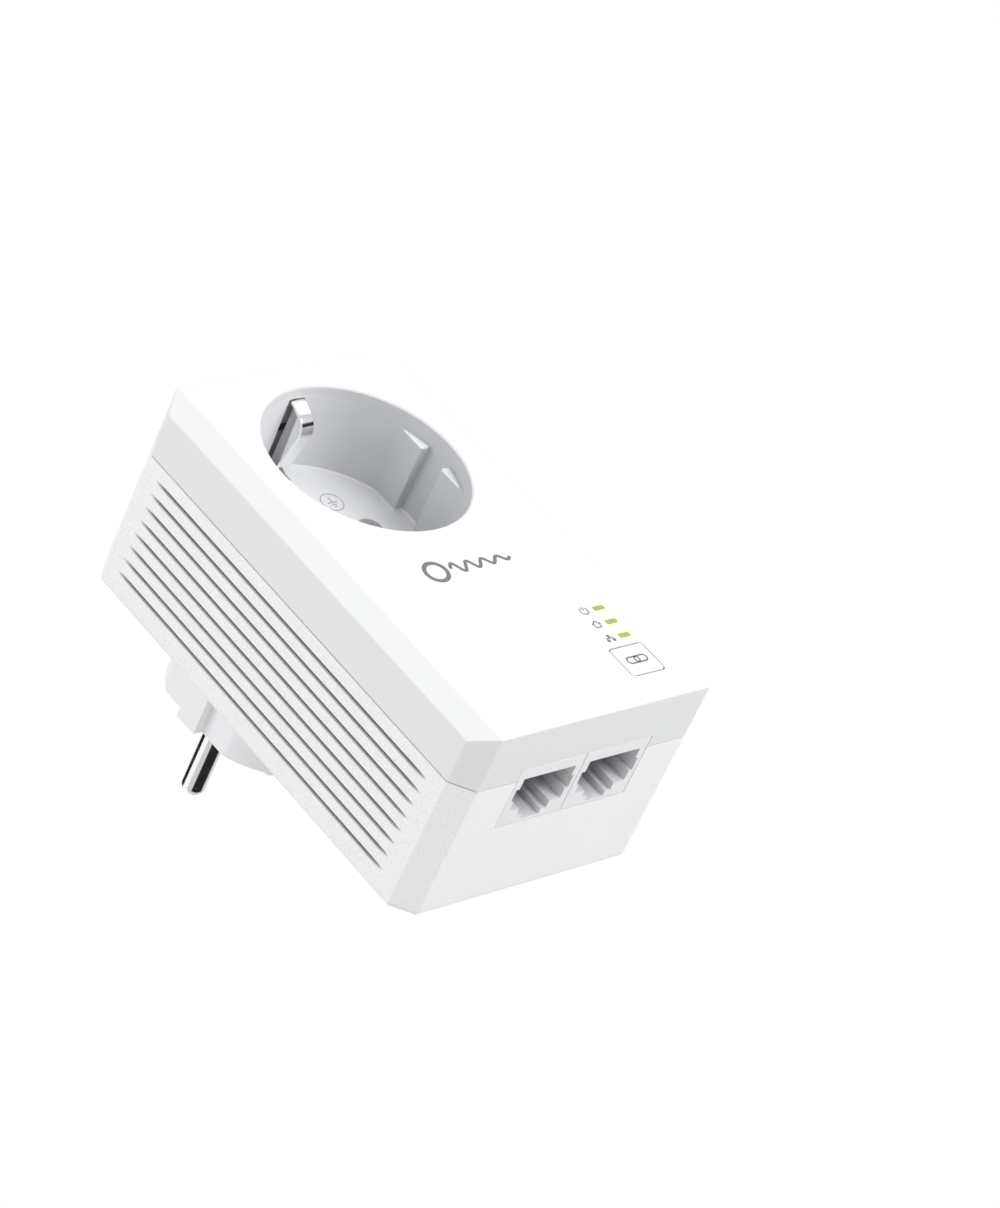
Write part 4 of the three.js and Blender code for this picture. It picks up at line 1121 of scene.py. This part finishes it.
def build_jacks():
    """Each jack is a soft block with its opening cut out, and a slot behind its contacts."""
    for name, side in SIDES:
        x = side * JACK_PITCH / 2
        low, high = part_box(f"network_jack_{name}")
        jack = soft_block(f"network_jack_{name}_moulded", low, high, 0.15 * MM)
        opening = along_z("opening", jack_section(x), BOTTOM - PAST, JACK_DEEP)
        comb = slab("comb", (x - 4.6 * MM, JACK_MOUTH - 1.6 * MM, BOTTOM + 2.6 * MM),
                    (x + 4.6 * MM, JACK_MOUTH + PAST, JACK_DEEP))
        cut(jack, opening, comb)
        finish_piece(jack, "root", [f"network_jack_{name}"], "jack_plastic")
        build_jack_contacts(name, x)


def build_jack_contacts(name, x):
    """Eight wires of round section, each a straight run with a hooked tip, on one moulded bar."""
    low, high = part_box(f"jack_contacts_{name}")
    wire = 0.24 * MM
    turn = np.linspace(0, 2 * math.pi, 8, endpoint=False)
    ring = wire * np.column_stack([np.cos(turn), np.sin(turn)])
    spine = np.array([(low.y + 0.4 * MM, high.z - 0.6 * MM), (low.y + 0.5 * MM, high.z - 1.6 * MM),
                      (high.y - 0.5 * MM, low.z + 0.6 * MM), (high.y - 0.3 * MM, low.z + 0.3 * MM)])
    bar = soft_block(f"jack_contacts_{name}_wires", (x - 4.2 * MM, low.y, high.z - 1.4 * MM),
                     (x + 4.2 * MM, low.y + 0.8 * MM, high.z), 0.1 * MM)
    count, pitch = 8, 1.02 * MM
    places = x + (np.arange(count) - (count - 1) / 2) * pitch
    wires = [carried("wire", ring, np.column_stack([np.full(len(spine), place), spine])) for place in places]
    join(bar, *wires)
    finish_piece(bar, f"jack_contacts_{name}", [f"jack_contacts_{name}"], "gold_contacts")


# ---------------------------------------------------------------- button and lamps

def build_button():
    """A cap with a quarter round at its edge, over a wider flange that holds it in."""
    cap = rounded_rectangle(BUTTON_X, BUTTON_Z, *BUTTON_HALF, 0.65 * MM)
    wider = 0.4 * MM
    flange = rounded_rectangle(BUTTON_X, BUTTON_Z, BUTTON_HALF[0] + wider, BUTTON_HALF[1] + wider, 1 * MM)
    button = stacked("pair_button_cap", cap, fillet(FACE, 0.15 * MM, -1, 3)[::-1] + [(0, FACE + 2.6 * MM)])
    join(button, stacked("flange", flange, [(0, FACE + 2.3 * MM), (0, BUTTON_HIGH.y)]))
    finish_piece(button, "pair_button", ["pair_button"], "button_white")


def build_lamps():
    """The light pipe: a prong with a soft face behind each window, joined by a web."""
    low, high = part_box("light_pipe")
    prongs = [pillow("prong", rounded_rectangle(LAMP_X, z, *LAMP_HALF, 0.22 * MM), low.y, high.y, 0.06 * MM)
              for z in LAMP_Z]
    web = soft_block("light_pipe_moulded", (low.x, FACE + 2.3 * MM, low.z), (high.x, FACE + 3.5 * MM, high.z),
                     0.2 * MM)
    join(web, *prongs)
    finish_piece(web, "root", ["light_pipe"], "lamp_green")


# ---------------------------------------------------------------- printed marks

def stroke(name, points, width, y, loop=False):
    """A printed line: a flat section carried along a path in x and z, sunk a little into the plane at y."""
    rise, sink = sizes().print_height, 0.005 * MM
    points = np.asarray(points, float)
    path = np.column_stack([points[:, 0], np.full(len(points), y - (rise - sink) / 2), points[:, 1]])
    ahead = np.roll(path, -1, axis=0) - np.roll(path, 1, axis=0) if loop else np.gradient(path, axis=0)
    ahead /= np.linalg.norm(ahead, axis=1, keepdims=True)
    sideways = np.column_stack([-ahead[:, 2], np.zeros(len(path)), ahead[:, 0]]) * width / 2
    up = np.array([0, (rise + sink) / 2, 0])
    corners = [path - sideways - up, path + sideways - up, path + sideways + up, path - sideways + up]
    return surface(name, np.stack(corners, axis=1), rows_close=loop)


def arc(x, z, radius, first, last, steps=33):
    """Points at one radius about x, z, at even angles from first to last in degrees."""
    angle = np.radians(np.linspace(first, last, steps))
    return np.column_stack([x + radius * np.cos(angle), z + radius * np.sin(angle)])


def circle(x, z, radius, steps=48):
    """A full arc without its doubled last point."""
    return arc(x, z, radius, 0, 360, steps + 1)[:-1]


def line(*points):
    return np.array(points, float)


def merged(name, parts):
    """One mesh from several that don't touch, by adding their points and faces one after another."""
    work = bmesh.new()
    for part in parts:
        work.from_mesh(part.data)
        bpy.data.objects.remove(part)
    mesh = bpy.data.meshes.new(name)
    work.to_mesh(mesh)
    work.free()
    return named_object(name, mesh)


def print_mark(name, strokes, y, body="root"):
    """Prints the strokes, each (points, width, loop), as one thin piece of ink."""
    parts = [stroke("stroke", points, width, y, loop) for points, width, loop in strokes]
    return finish_piece(merged(name, parts), body, [], "white_satin", material=print_ink())


def power_icon(x, z, size, width):
    """An open ring with a stem through its gap."""
    stem = line((x, z + 0.1 * size), (x, z + 1.15 * size))
    return [(arc(x, z, size, 125, 415), width, False), (stem, width, False)]


def house_icon(x, z, size, width):
    """A roof line over the outline of three walls."""
    roof = line((x - 1.15 * size, z + 0.1 * size), (x, z + size), (x + 1.15 * size, z + 0.1 * size))
    walls = line((x - 0.75 * size, z + 0.35 * size), (x - 0.75 * size, z - 0.85 * size),
                 (x + 0.75 * size, z - 0.85 * size), (x + 0.75 * size, z + 0.35 * size))
    return [(densified(roof), width, False), (densified(walls), width, False)]


def densified(points):
    """The same path with more points on each straight side, two close to its corners so they stay sharp."""
    share = np.array([0.0, 0.02, 0.25, 0.5, 0.75, 0.98])[:, None]
    start, end = points[:-1, None], points[1:, None]
    return np.vstack([(start + (end - start) * share).reshape(-1, 2), points[-1:]])


def network_icon(x, z, size, width):
    """Three small nodes joined by a branching line."""
    arm = 0.8 * size
    stem = line((x, z + 0.35 * size), (x, z))
    fork = line((x - arm, z - 0.4 * size), (x - arm, z), (x + arm, z), (x + arm, z - 0.4 * size))
    middles = ((x, z + 0.65 * size), (x - arm, z - 0.7 * size), (x + arm, z - 0.7 * size))
    dots = [(circle(px, pz, 0.22 * size, 16), width * 1.4, True) for px, pz in middles]
    return [(stem, width, False), (densified(fork), width, False), *dots]


def pair_icon(x, z, size, width):
    """Two links of a chain: two rounded loops that overlap in the middle."""
    links = [rectangle(x + side * 0.62 * size, z, 0.95 * size, 0.5 * size) for _, side in SIDES]
    return [(rounded(link, 0.48 * size, 10), width, True) for link in links]


def earth_icon(x, z, size, width):
    """A ring round the earth mark: a stem over three bars that shorten downwards."""
    bars = [(line((x - half * size, z - drop * size), (x + half * size, z - drop * size)), width, False)
            for half, drop in ((0.5, 0.05), (0.32, 0.3), (0.14, 0.55))]
    stem = line((x, z + 0.6 * size), (x, z - 0.05 * size))
    return [(circle(x, z, size), width, True), (stem, width, False), *bars]


def emblem(x, z, size, width):
    """A plain ring and a wave line: sine of the distance along it, fading out at its far end."""
    along = np.linspace(0, 1, 160)
    reach = 14.2 * MM
    wave = 0.55 * size * np.sin(along * 2 * math.pi * 4) * (1 - 0.55 * along)
    start = x + 1.55 * size
    return [(circle(x, z, size, 72), width, True),
            (np.column_stack([start + along * reach, z + wave]), width * 0.8, False)]


def build_printing():
    """Symbols beside the lamps, links on the button, a plain emblem, and earth marks in the well."""
    icon_x = 14.35 * MM
    icon, thin = 0.85 * MM, 0.25 * MM
    for name, make, z in zip(("power", "house", "network"), (power_icon, house_icon, network_icon), LAMP_Z):
        print_mark(f"print_{name}", make(icon_x, z, icon, thin), FACE)
    print_mark("print_pair", pair_icon(BUTTON_X, BUTTON_Z, 1.5 * MM, 0.32 * MM), FACE, "pair_button")
    print_mark("print_emblem", emblem(-8.0 * MM, MIDDLE - 8 * MM, 2.3 * MM, 0.85 * MM), FACE)
    for name, side in (("lower", -1), ("upper", 1)):
        earth = earth_icon(side * 6.2 * MM, WELL_Z + side * 7.95 * MM, 2.3 * MM, 0.12 * MM)
        print_mark(f"print_earth_{name}", earth, WELL_FLOOR)


# ---------------------------------------------------------------- back fittings

def build_back_fittings():
    """The blank label and the four housing screws."""
    outline = rounded_rectangle(LABEL_X, LABEL_Z, 17 * MM, 12 * MM, 1.2 * MM)
    label = pillow("rating_label_blank", outline, LABEL_LOW.y, LABEL_HIGH.y, 0.05 * MM)
    finish_piece(label, "root", ["rating_label"], "label_silver")
    for along, _ in ENDS:
        for across, _ in SIDES:
            build_screw(f"housing_screw_{along}_{across}")


def build_screw(name):
    """A housing screw turned about its own axis: domed head, threaded shank with a ripple, star recess."""
    low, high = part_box(name)
    x, z = (low.x + high.x) / 2, (low.z + high.z) / 2
    head, shank = (high.x - low.x) / 2, 1.2 * MM
    under = high.y - 1.8 * MM
    dome = [(head - inset, y) for inset, y in fillet(high.y, 0.7 * MM, 1, 5)]
    pitch, ripple = 0.8 * MM, 0.12 * MM
    y = np.arange(low.y + pitch, under - 0.6 * MM, pitch / 4)
    thread = np.column_stack([shank + ripple * np.cos((y - low.y) / pitch * 2 * math.pi), y])
    profile = [(0, low.y), (0.4 * MM, low.y), *thread, (shank, under - 0.3 * MM), (shank, under),
               (head, under), *dome, (0, high.y)]
    screw = turned(f"{name}_turned", profile, x, z, 40)
    drive = []
    for third in range(3):
        bar = stacked("bar", lambda inset: rectangle(0, 0, head * 0.52, head * 0.15),
                      [(0, high.y - 1.0 * MM), (0, high.y + 1 * MM)])
        bar.data.transform(Matrix.Translation((x, 0, z)) @ Matrix.Rotation(third * math.pi / 3, 4, "Y"))
        drive.append(bar)
    cut(screw, *drive)
    finish_piece(screw, "root", [name], "screw_steel")


# ---------------------------------------------------------------- inner parts

def finish_inner_parts():
    """Gives every node that stays visible the finish its record slot names."""
    for row in frame["record"]["subparts"]:
        part = frame["nodes"][row["node"]]
        finish = finish_of(row["material_slot"])
        if part.material_slots:
            for place in part.material_slots:
                place.material = finish
        else:
            part.data.materials.append(finish)


# ---------------------------------------------------------------- stage

CAMERA_TARGET = Vector((5.4, -53.6, -34.2)) * MM
CAMERA_AZIMUTH = -51.04
CAMERA_ELEVATION = -28.22
CAMERA_ROLL = -43.26
CAMERA_DISTANCE = 0.7622
CAMERA_LENS = 129.87


def build_camera():
    """Looks at its target from an azimuth and an elevation, turned about its own line of sight."""
    data = bpy.data.cameras.new("camera")
    data.lens = CAMERA_LENS
    data.sensor_width = 36
    data.clip_start, data.clip_end = 0.01, 20
    camera = bpy.data.objects.new("camera", data)
    bpy.context.scene.collection.objects.link(camera)
    azimuth, elevation = math.radians(CAMERA_AZIMUTH), math.radians(CAMERA_ELEVATION)
    back = Vector((math.sin(azimuth) * math.cos(elevation), -math.cos(azimuth) * math.cos(elevation),
                   math.sin(elevation)))
    camera.rotation_mode = "QUATERNION"
    level = (-back).to_track_quat("-Z", "Y")
    camera.rotation_quaternion = level @ Matrix.Rotation(math.radians(CAMERA_ROLL), 3, "Z").to_quaternion()
    camera.location = CAMERA_TARGET + back * CAMERA_DISTANCE
    bpy.context.scene.camera = camera


def softbox(name, direction, distance, size, power):
    """A square area light that looks at the adapter from a direction."""
    data = bpy.data.lights.new(name, "AREA")
    data.shape = "SQUARE"
    data.size = size
    data.energy = power
    light = bpy.data.objects.new(name, data)
    bpy.context.scene.collection.objects.link(light)
    towards = Vector(direction).normalized()
    light.location = Vector((0, FACE / 2, MIDDLE)) + towards * distance
    light.rotation_mode = "QUATERNION"
    light.rotation_quaternion = towards.to_track_quat("Z", "Y")
    light.visible_camera = False


def flag(name, direction, distance, width, height, ink):
    """A black card seen only in reflections, which gives bright metal its dark bands."""
    card = slab(name, (-width / 2, -1 * MM, -height / 2), (width / 2, 1 * MM, height / 2))
    towards = Vector(direction).normalized()
    card.rotation_mode = "QUATERNION"
    upright = Matrix.Rotation(math.pi / 2, 3, "X").to_quaternion()
    card.rotation_quaternion = towards.to_track_quat("Z", "Y") @ upright
    card.location = towards * distance
    card.data.materials.append(ink)
    card.visible_camera = False
    card.visible_diffuse = False
    card.visible_shadow = False


def plain_world():
    """An even white surround: full white to the camera and in reflections, dimmer in the light it casts."""
    world = bpy.data.worlds.new("studio")
    bpy.context.scene.world = world
    world.use_nodes = True
    tree = world.node_tree
    shade = tree.nodes["Background"]
    shade.inputs["Color"].default_value = (1, 1, 1, 1)
    path = node(tree, "ShaderNodeLightPath")
    seen = maths(tree, "MAXIMUM", path.outputs["Is Camera Ray"], path.outputs["Is Glossy Ray"])
    strength = node(tree, "ShaderNodeMapRange", [("Value", seen), ("To Min", 0.7), ("To Max", 1.0)])
    tree.links.new(strength.outputs[0], shade.inputs["Strength"])


def build_stage():
    """The pale floor, the even surround, three soft lights, three flags and the camera."""
    floor_z = -0.62
    floor = slab("floor", (-20, -20, floor_z - 0.01), (20, 20, floor_z))
    floor.data.materials.append(moulded("pale_floor", (0.85, 0.85, 0.86), 0.6, 60.0, 0.01, 0.1 * MM, 0.01))
    plain_world()
    softbox("left", (-1, -0.3, 0.5), 1.0, 0.6, 2.9)
    softbox("under", (0.3, -0.75, -0.6), 0.9, 0.5, 5.0)
    softbox("key", (0.6, -1, 0.4), 1.1, 0.7, 2.0)
    ink = principled("flag_black", Base_Color=(0.002, 0.002, 0.002, 1), Roughness=1.0)[0]
    flag("flag_below_plug", (0.08, 0.6, -0.75), 0.36, 0.6, 0.2, ink)
    flag("flag_above_plug", (-0.3, 0.55, 0.7), 0.36, 0.2, 0.19, ink)
    flag("flag_below_socket", (0.70, -0.24, -0.67), 0.45, 0.3, 0.2, ink)
    bpy.context.scene.view_settings.view_transform = "Standard"
    build_camera()


# ---------------------------------------------------------------- operators and panel

class ADAPTER_OT_front_shell(bpy.types.Operator):
    """Build the white front shell with the well's mouth and the windows"""
    bl_idname = "adapter.front_shell"
    bl_label = "Front shell"

    def execute(self, context):
        build_front_shell()
        return {"FINISHED"}


class ADAPTER_OT_rear_shell(bpy.types.Operator):
    """Build the grained rear shell with its side grooves"""
    bl_idname = "adapter.rear_shell"
    bl_label = "Rear shell"

    def execute(self, context):
        build_rear_shell()
        return {"FINISHED"}


class ADAPTER_OT_plug(bpy.types.Operator):
    """Build the plug body, its two pins and its two earth strips"""
    bl_idname = "adapter.plug"
    bl_label = "Plug"

    def execute(self, context):
        build_plug()
        return {"FINISHED"}


class ADAPTER_OT_socket_well(bpy.types.Operator):
    """Build the socket's cup with its four guide blocks"""
    bl_idname = "adapter.socket_well"
    bl_label = "Socket well"

    def execute(self, context):
        build_socket_well()
        return {"FINISHED"}


class ADAPTER_OT_earth_clips(bpy.types.Operator):
    """Build the two bent earth clips in the socket"""
    bl_idname = "adapter.earth_clips"
    bl_label = "Earth clips"

    def execute(self, context):
        build_earth_clips()
        return {"FINISHED"}


class ADAPTER_OT_network_jacks(bpy.types.Operator):
    """Build the two network jacks and their contacts"""
    bl_idname = "adapter.network_jacks"
    bl_label = "Network jacks"

    def execute(self, context):
        build_jacks()
        return {"FINISHED"}


class ADAPTER_OT_pair_button(bpy.types.Operator):
    """Build the pair button"""
    bl_idname = "adapter.pair_button"
    bl_label = "Pair button"

    def execute(self, context):
        build_button()
        return {"FINISHED"}


class ADAPTER_OT_lamps(bpy.types.Operator):
    """Build the light pipe behind the three windows"""
    bl_idname = "adapter.lamps"
    bl_label = "Lamps"

    def execute(self, context):
        build_lamps()
        return {"FINISHED"}


class ADAPTER_OT_printing(bpy.types.Operator):
    """Print the icons, the plain emblem and the earth marks"""
    bl_idname = "adapter.printing"
    bl_label = "Printed marks"

    def execute(self, context):
        build_printing()
        return {"FINISHED"}


class ADAPTER_OT_back_fittings(bpy.types.Operator):
    """Build the blank label and the four housing screws"""
    bl_idname = "adapter.back_fittings"
    bl_label = "Label and screws"

    def execute(self, context):
        build_back_fittings()
        return {"FINISHED"}


class ADAPTER_OT_inner_parts(bpy.types.Operator):
    """Give the boards, contacts and other inner parts their finishes"""
    bl_idname = "adapter.inner_parts"
    bl_label = "Inner parts"

    def execute(self, context):
        finish_inner_parts()
        return {"FINISHED"}


class ADAPTER_OT_stage(bpy.types.Operator):
    """Set the floor, the lights and the camera"""
    bl_idname = "adapter.stage"
    bl_label = "Stage"

    def execute(self, context):
        build_stage()
        return {"FINISHED"}


OPERATORS = (
    ADAPTER_OT_front_shell, ADAPTER_OT_rear_shell, ADAPTER_OT_plug, ADAPTER_OT_socket_well,
    ADAPTER_OT_earth_clips, ADAPTER_OT_network_jacks, ADAPTER_OT_pair_button, ADAPTER_OT_lamps,
    ADAPTER_OT_printing, ADAPTER_OT_back_fittings, ADAPTER_OT_inner_parts, ADAPTER_OT_stage,
)


class ADAPTER_PT_panel(bpy.types.Panel):
    """Sidebar panel with the adapter's sizes, colours and operators"""
    bl_idname = "ADAPTER_PT_panel"
    bl_label = "Powerline adapter"
    bl_space_type = "VIEW_3D"
    bl_region_type = "UI"
    bl_category = "Adapter"

    def draw(self, context):
        for settings in (context.scene.adapter_sizes, context.scene.adapter_colours):
            box = self.layout.box()
            for name in settings.bl_rna.properties.keys():
                if name not in {"rna_type", "name"}:
                    box.prop(settings, name)
        for operator in OPERATORS:
            self.layout.operator(operator.bl_idname)


CLASSES = (AdapterSizes, AdapterColours, *OPERATORS, ADAPTER_PT_panel)


def register():
    for each in CLASSES:
        bpy.utils.register_class(each)
    bpy.types.Scene.adapter_sizes = bpy.props.PointerProperty(type=AdapterSizes)
    bpy.types.Scene.adapter_colours = bpy.props.PointerProperty(type=AdapterColours)


def unregister():
    del bpy.types.Scene.adapter_colours
    del bpy.types.Scene.adapter_sizes
    for each in reversed(CLASSES):
        bpy.utils.unregister_class(each)


def main():
    register()
    for operator in OPERATORS:
        group, name = operator.bl_idname.split(".")
        getattr(getattr(bpy.ops, group), name)()


if __name__ == "__main__":
    main()
